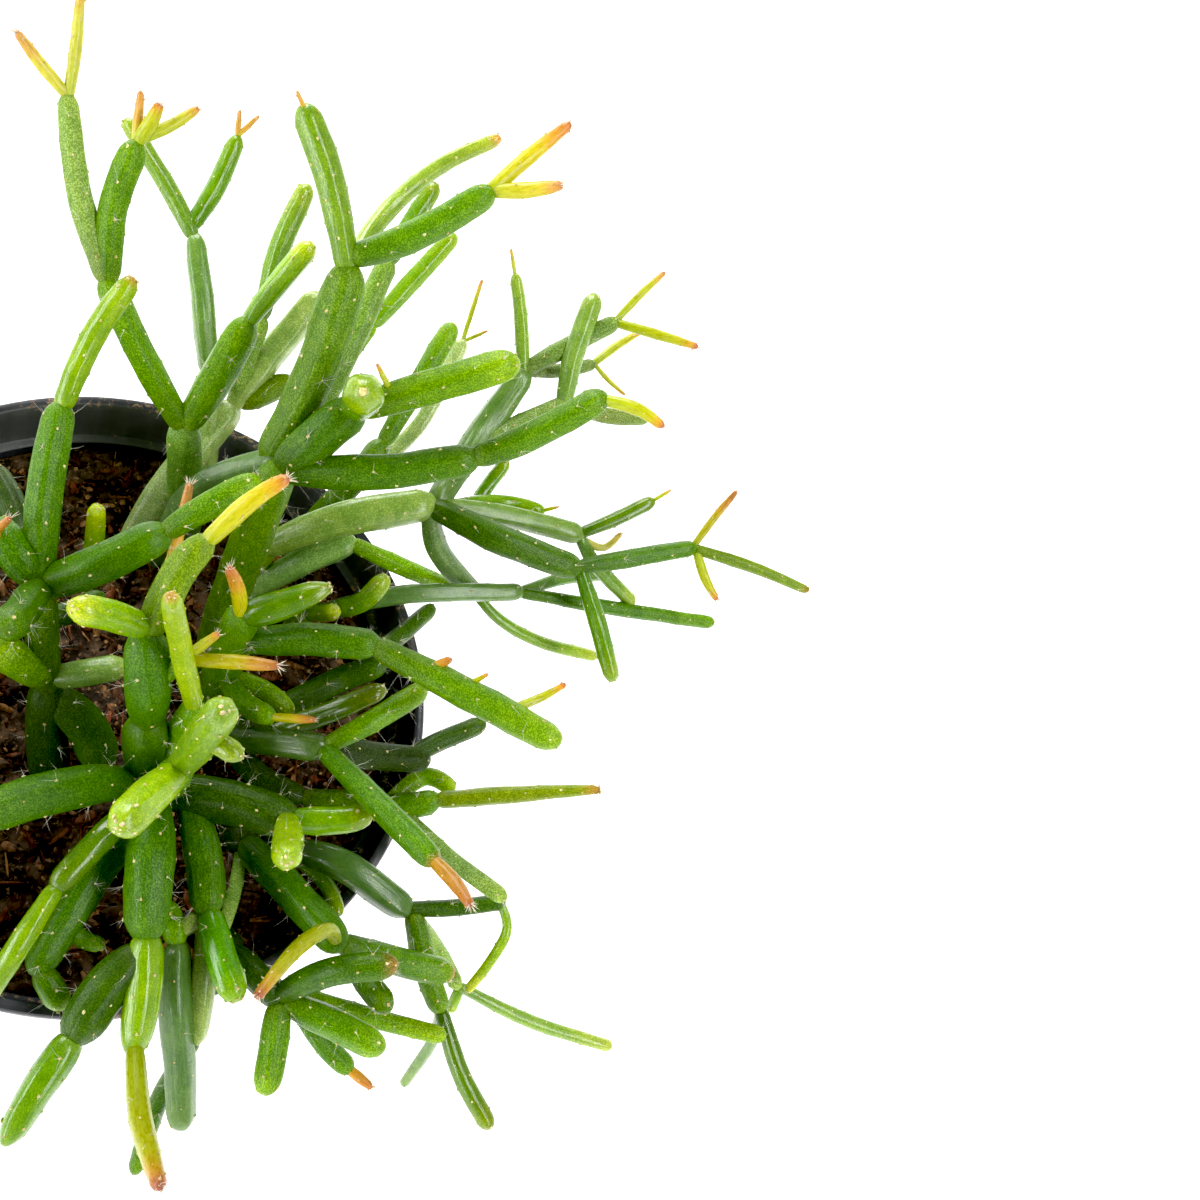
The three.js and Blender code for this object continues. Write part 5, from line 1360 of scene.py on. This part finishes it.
def add_tip(domes, hairs, segment, random):
    """What stands on a free tip: one large areole, or a cream cluster and bristles."""
    if not segment.open_tip:
        return
    tip, along = segment.line.at(1.0), segment.line.along(1.0)
    side = unit(np.cross(along, segment.reference))
    over = np.cross(along, side)
    if segment.name == EYED:
        place = (tip - along * 0.05)[None]
        sizes = np.array([EYE_SIZE])
        add_domes(domes, random, place, along[None], side[None], sizes, EYE_CREAM[None], EYE_GREEN[None])
        return
    if segment.skin in ("fresh", "mid") and segment.half > 1.5:
        add_cluster(domes, random, segment, tip, along, side, over)
    bristles = 5 if segment.half < 0.9 else TIP_BRISTLES[segment.skin]
    if bristles:
        add_bristles(hairs, random, segment, bristles, tip, along, side, over)


def add_cluster(domes, random, segment, tip, along, side, over):
    """Cream cushions close together round the tip."""
    half, fresh = segment.half, segment.skin == "fresh"
    count = 6 if fresh else 2
    out = swung(segment.turn + around(count), side, over)
    places = tip - along * 0.10 * half + out * (0.34 * half) * random.uniform(0.3, 1.4, count)[:, None]
    normals = unit(along + out * 0.35)
    sizes = random.uniform(0.20, 0.42, count) * (1.0 if fresh else 0.75) * min(1.2, half / 2.4)
    felts = CLUSTER_CREAM * random.uniform(0.8, 1.0, count)[:, None]
    skirts = np.tile(CLUSTER_GREEN, (count, 1))
    add_domes(domes, random, places, normals, out, sizes, felts, skirts)


def add_bristles(hairs, random, segment, count, tip, along, side, over):
    """Stiff pale bristles that stand out from the tip."""
    half = segment.half
    out = swung(random.uniform(0, 2 * math.pi, count), side, over)
    aims = unit(along + out * random.uniform(0.1, 0.95, count)[:, None])
    roots = tip - along * 0.3 * half + out * 0.35 * half * random.uniform(0.3, 1.0, count)[:, None]
    lengths = random.uniform(0.6, 1.7, count) + 0.2 * half
    radii = np.full(count, SHOOT_BRISTLE_RADIUS if segment.skin == "shoot" else BRISTLE_RADIUS)
    tints = toward(BRISTLE_CREAM, BRISTLE_ORANGE, random.uniform(0, 0.5, count)[:, None])
    add_spikes(hairs, roots, aims, out * 0.12, lengths, radii, tints)


# ---------------------------------------------------------------- the stems

PLANNED_SEED = 100
MEASURED_SEED = 200
SKIN = skin_material("cactus_skin", shine=0.25, relief=0.5)
GLOSSY_SKIN = skin_material("young_cactus_skin", shine=0.6, relief=0.25)
SHOOT = shoot_material()
# The areoles glow faintly and the hairs more: painted light, not lamps.
FELT = felt_material("areole_felt", wear=(0.66, 0.58, 0.44), roughness=0.9, painted_glow=0.02)
HAIR = felt_material("white_hair", wear=(0.80, 0.80, 0.75), roughness=0.5, painted_glow=0.08)


def add_stem(name, rows, lay_out, seed):
    """A stem's pieces: its skin, and the areoles and hairs of all its segments."""
    random = np.random.default_rng(seed)
    grown = grow(rows, lay_out, random)
    skin, domes, hairs = Parts(), Parts(), Parts()
    for segment in grown:
        place_areoles(segment, random)
        add_skin(skin, segment)
        add_areoles(domes, hairs, segment, grown, random)
        add_tip(domes, hairs, segment, random)
    add_piece(f"{name}_skin", skin.mesh(f"{name}_skin", SKIN, SHOOT, GLOSSY_SKIN), name)
    for growth, parts, material in (("areoles", domes, FELT), ("hairs", hairs, HAIR)):
        if parts.count:
            add_piece(f"{name}_{growth}", parts.mesh(f"{name}_{growth}", material))


def add_stems(stems, lay_out, first_seed):
    for seed, (name, rows) in enumerate(stems.items(), first_seed):
        add_stem(name, rows, lay_out, seed)


add_stems(PLANNED_STEMS, planned, PLANNED_SEED)
add_stems(MEASURED_STEMS, measured, MEASURED_SEED)


# ---------------------------------------------------------------- the pot

POT_SIDES = 144
DRAIN_HOLES = 6
DRAIN_RADIUS = 4
DRAIN_RING = 31
DRAIN_SIDES = 28
DRILL_HEIGHTS = (-3, 5)
# Edges sharper than this many degrees stay sharp.
SHARP_ANGLE = 35
# The pot's wall as [radius, height], from the middle of its underside, up the outside and down the inside.
POT_OUTLINE = (
    (41.6, 0.0), (42.1, 0.12), (42.5, 0.5), (45.2, 17.6), (49.3, 43.6), (53.2, 68.0), (56.6, 89.4),
    (56.9, 90.3), (58.45, 91.1), (58.7, 91.6), (58.85, 96.0), (58.9, 100.6), (59.1, 101.3), (59.8, 101.8),
    (60.0, 102.3), (60.0, 104.1), (59.88, 104.6), (59.6, 104.92), (59.1, 105.0), (58.4, 105.0),
    (58.0, 104.85), (57.8, 104.5), (57.75, 101.5), (57.7, 97.0), (57.6, 93.0), (57.4, 92.55), (57.0, 92.4),
    (56.2, 92.4), (55.8, 92.2), (55.6, 91.7), (54.8, 86.6), (51.6, 66.2), (47.0, 37.0), (42.2, 6.6),
    (41.4, 2.2), (40.9, 1.7), (40.2, 1.6),
)
# The pot's material has its own colours, and this only stands in for them.
POT_TINT = (0.02, 0.02, 0.02)


def add_pot():
    """The pot's wall turned round its axis, with the drain holes cut out of its floor."""
    parts, drills = Parts(), Parts()
    parts.add(turned(POT_OUTLINE, POT_SIDES), tube_faces(len(POT_OUTLINE), POT_SIDES), POT_TINT)
    drill = turned([(DRAIN_RADIUS, height) for height in DRILL_HEIGHTS], DRAIN_SIDES)
    for turn in around(DRAIN_HOLES) + math.pi / DRAIN_HOLES:
        middle = DRAIN_RING * np.array((math.cos(turn), math.sin(turn), 0))
        drills.add(drill + middle, tube_faces(len(DRILL_HEIGHTS), DRAIN_SIDES), POT_TINT)
    pot = placed("pot_blank", parts.mesh("pot_blank", pot_material()))
    cutter = placed("drill_blank", drills.mesh("drill_blank"))
    cut = pot.modifiers.new("drain", "BOOLEAN")
    cut.operation = "DIFFERENCE"
    cut.solver = "EXACT"
    cut.object = cutter
    ready = pot.evaluated_get(bpy.context.evaluated_depsgraph_get())
    mesh = bpy.data.meshes.new_from_object(ready)
    mesh.name = "nursery_pot"
    bpy.data.objects.remove(pot)
    bpy.data.objects.remove(cutter)
    mesh.set_sharp_from_angle(angle=math.radians(SHARP_ANGLE))
    add_piece("nursery_pot", mesh, "pot")


# ---------------------------------------------------------------- the soil

SOIL_REACH = 55.4
SOIL_RINGS = 110
SOIL_SIDES = 260
SOIL_RELIEF = 0.9
SOIL_TINT = (0.03, 0.03, 0.03)
# The soil's side as [radius, height], from its underside up to its top.
SOIL_OUTLINE = ((40.9, 2.05), (46.3, 34.0), (51.2, 65.0), (54.7, 88.0))
# Against the pot the soil's top falls to this height, over this width.
RIM_HEIGHT = SOIL_LEVEL - 0.9
RIM_FALL = 2.2
# The clods, ridges, pits and crumbs: the height of each, its width and the seed of its noise.
CLODS = (2.2, 5.5, 11)
RIDGES = (1.5, 3.1, 12)
PITS = (0.9, 1.7, 13)
CRUMBS = (0.45, 0.9, 14)
LATTICE_CELLS = 64
LATTICE_SHIFT = 400
LITTER_SEED = 7
LITTER_REACH = 52.5
LITTER_TILT = 0.22
CHIP_TINTS = (0x5c3824, 0x6e4630, 0x3e271a, 0x84603f, 0x281a12, 0x4e3526, 0x977049, 0x1b120d, 0x663a26)
CRUMB_TINTS = (0x1d130d, 0x3a251a, 0x553826, 0x7b5a3e, 0x120c09, 0x987552, 0x2a1b13)
# The rings of a piece of bark and of a crumb, as shares of half the length and of the width.
BARK_RINGS = ((-0.96, 0.45), (-0.55, 0.9), (0.0, 1.0), (0.5, 0.85), (0.93, 0.5))
CRUMB_RINGS = ((-0.75, 0.6), (0.05, 1.0), (0.75, 0.6))
# The litter on the soil, in each row its number, the ranges of its length, width and thickness, its tints,
# how high it lies as a share of its thickness, and its rings and the number of their sides.
LITTER = {
    "bark_chips": (330, (2.0, 5.6), (0.9, 2.3), (0.5, 1.4), CHIP_TINTS, 0.1, BARK_RINGS, 6),
    "bark_fibres": (380, (3.0, 8.0), (0.22, 0.6), (0.2, 0.45), CHIP_TINTS, 0.7, BARK_RINGS, 6),
    "soil_crumbs": (2200, (0.5, 2.0), (0.4, 1.5), (0.4, 1.3), CRUMB_TINTS, 0.2, CRUMB_RINGS, 5),
}


def lattice(x, y, cell, seed):
    """Smooth noise from 0 to 1 on a square lattice."""
    table = np.random.default_rng(seed).uniform(0, 1, (LATTICE_CELLS, LATTICE_CELLS))
    across, along = x / cell + LATTICE_SHIFT, y / cell + LATTICE_SHIFT
    column, row = np.floor(across).astype(int), np.floor(along).astype(int)
    share_x, share_y = across - column, along - row
    share_x, share_y = share_x**2 * (3 - 2 * share_x), share_y**2 * (3 - 2 * share_y)

    def corner(right, up):
        return table[(column + right) % LATTICE_CELLS, (row + up) % LATTICE_CELLS]

    near = corner(0, 0) * (1 - share_x) + corner(1, 0) * share_x
    far = corner(0, 1) * (1 - share_x) + corner(1, 1) * share_x
    return near * (1 - share_y) + far * share_y


def relief(x, y, height, cell, seed):
    return height * (lattice(x, y, cell, seed) - 0.5)


def soil_height(x, y):
    """The height of the soil: its broad relief with clods, ridges and pits on it."""
    x, y = np.asarray(x, dtype=float), np.asarray(y, dtype=float)
    broad = 0.6 * np.sin(x / 9 + 1.3) * np.cos(y / 11 - 0.4)
    fine = 0.4 * np.sin(x / 3.7 - y / 5.1) * np.cos(x / 6.3 + y / 3.1 + 2)
    high, wide, seed = RIDGES
    ridges = high * (0.5 - np.abs(lattice(x + 0.4 * y, y, wide, seed) - 0.5) * 2)
    level = SOIL_LEVEL + SOIL_RELIEF * (broad + fine)
    return level + relief(x, y, *CLODS) + ridges + relief(x, y, *PITS) + relief(x, y, *CRUMBS)


def add_soil():
    """The filling of the pot, uneven on top and level where it meets the wall."""
    shares = np.linspace(0.02, 1, SOIL_RINGS)[::-1]
    reaches = SOIL_REACH * (np.sqrt(shares) * 0.35 + shares * 0.65)
    outline = [*SOIL_OUTLINE, *((reach, SOIL_LEVEL) for reach in reaches)]
    points = turned(outline, SOIL_SIDES)
    top = slice(len(SOIL_OUTLINE) * SOIL_SIDES, -2)
    x, y = points[top, 0], points[top, 1]
    fall = smooth(np.repeat(reaches, SOIL_SIDES), SOIL_REACH - RIM_FALL, SOIL_REACH)
    points[top, 2] = soil_height(x, y) * (1 - fall) + RIM_HEIGHT * fall
    points[-1, 2] = soil_height(0, 0)
    parts = Parts()
    parts.add(points, tube_faces(len(outline), SOIL_SIDES), SOIL_TINT)
    add_piece("potting_mix", parts.mesh("potting_mix", soil_material()), "soil")


def scattered(random, count):
    """Places all over the soil."""
    radius = LITTER_REACH * np.sqrt(random.uniform(0, 1, count))
    angle = random.uniform(0, 2 * math.pi, count)
    x, y = radius * np.cos(angle), radius * np.sin(angle)
    return np.stack([x, y, soil_height(x, y)], axis=-1)


def turned_to(random, count):
    """Long, flat and upward directions of things lying about on the soil."""
    heading = random.uniform(0, 2 * math.pi, count)
    rise, lean, sway = random.normal(0, LITTER_TILT, (3, count))
    long_way = unit(np.stack([np.cos(heading), np.sin(heading), rise], axis=-1))
    up = unit(np.stack([lean, sway, np.ones(count)], axis=-1))
    flat_way = unit(np.cross(up, long_way))
    return long_way, flat_way, np.cross(long_way, flat_way)


def add_chips(parts, random, count, longs, wides, thicks, tints, raised, rings, sides):
    """Rough bodies with torn ends, partly sunk in the soil."""
    centre = scattered(random, count)
    long_way, flat_way, up = turned_to(random, count)
    length = random.uniform(*longs, count)
    wide = random.uniform(*wides, count)
    thick = random.uniform(*thicks, count)
    centre = centre + up * (thick * raised)[:, None]
    points = []
    for share, swell in rings:
        shift = random.normal(0, 0.07, (count, 2))
        for turn in around(sides):
            rough = random.uniform(0.72, 1.15, count) * swell
            point = centre + long_way * (length * (share + shift[:, 0] * 0.6) / 2)[:, None]
            point = point + flat_way * (wide / 2 * (math.cos(turn) * rough + shift[:, 1]))[:, None]
            points.append(point + up * (thick / 2 * math.sin(turn) * rough)[:, None])
    for end in (-1, 1):
        torn = random.uniform(0.9, 1.05, count)
        points.append(centre + long_way * (length * end / 2 * torn)[:, None])
    picked = np.array([linear(tint) for tint in tints])[random.integers(0, len(tints), count)]
    picked = picked * random.uniform(0.6, 1.15, count)[:, None]
    parts.add_many(np.stack(points, axis=1), len(rings), sides, picked[:, None])


def add_litter():
    """Bark chips, fibres and crumbs, strewn over the soil."""
    random = np.random.default_rng(LITTER_SEED)
    bark = bark_material()
    for name, make in LITTER.items():
        parts = Parts()
        add_chips(parts, random, *make)
        add_piece(name, parts.mesh(name, bark))


add_pot()
add_soil()
add_litter()


# ---------------------------------------------------------------- the studio


def add_floor():
    corners = np.array([(-1, -1, 0), (1, -1, 0), (1, 1, 0), (-1, 1, 0)]) * FLOOR_HALF / MM
    parts = Parts()
    parts.add(corners, [np.array([[0, 1, 2, 3]])], np.ones(3))
    floor = placed("studio_floor", parts.mesh("studio_floor", floor_material()))


add_camera()
add_world()
set_view()
add_floor()
for soft_box in SOFT_BOXES:
    add_soft_box(*soft_box)
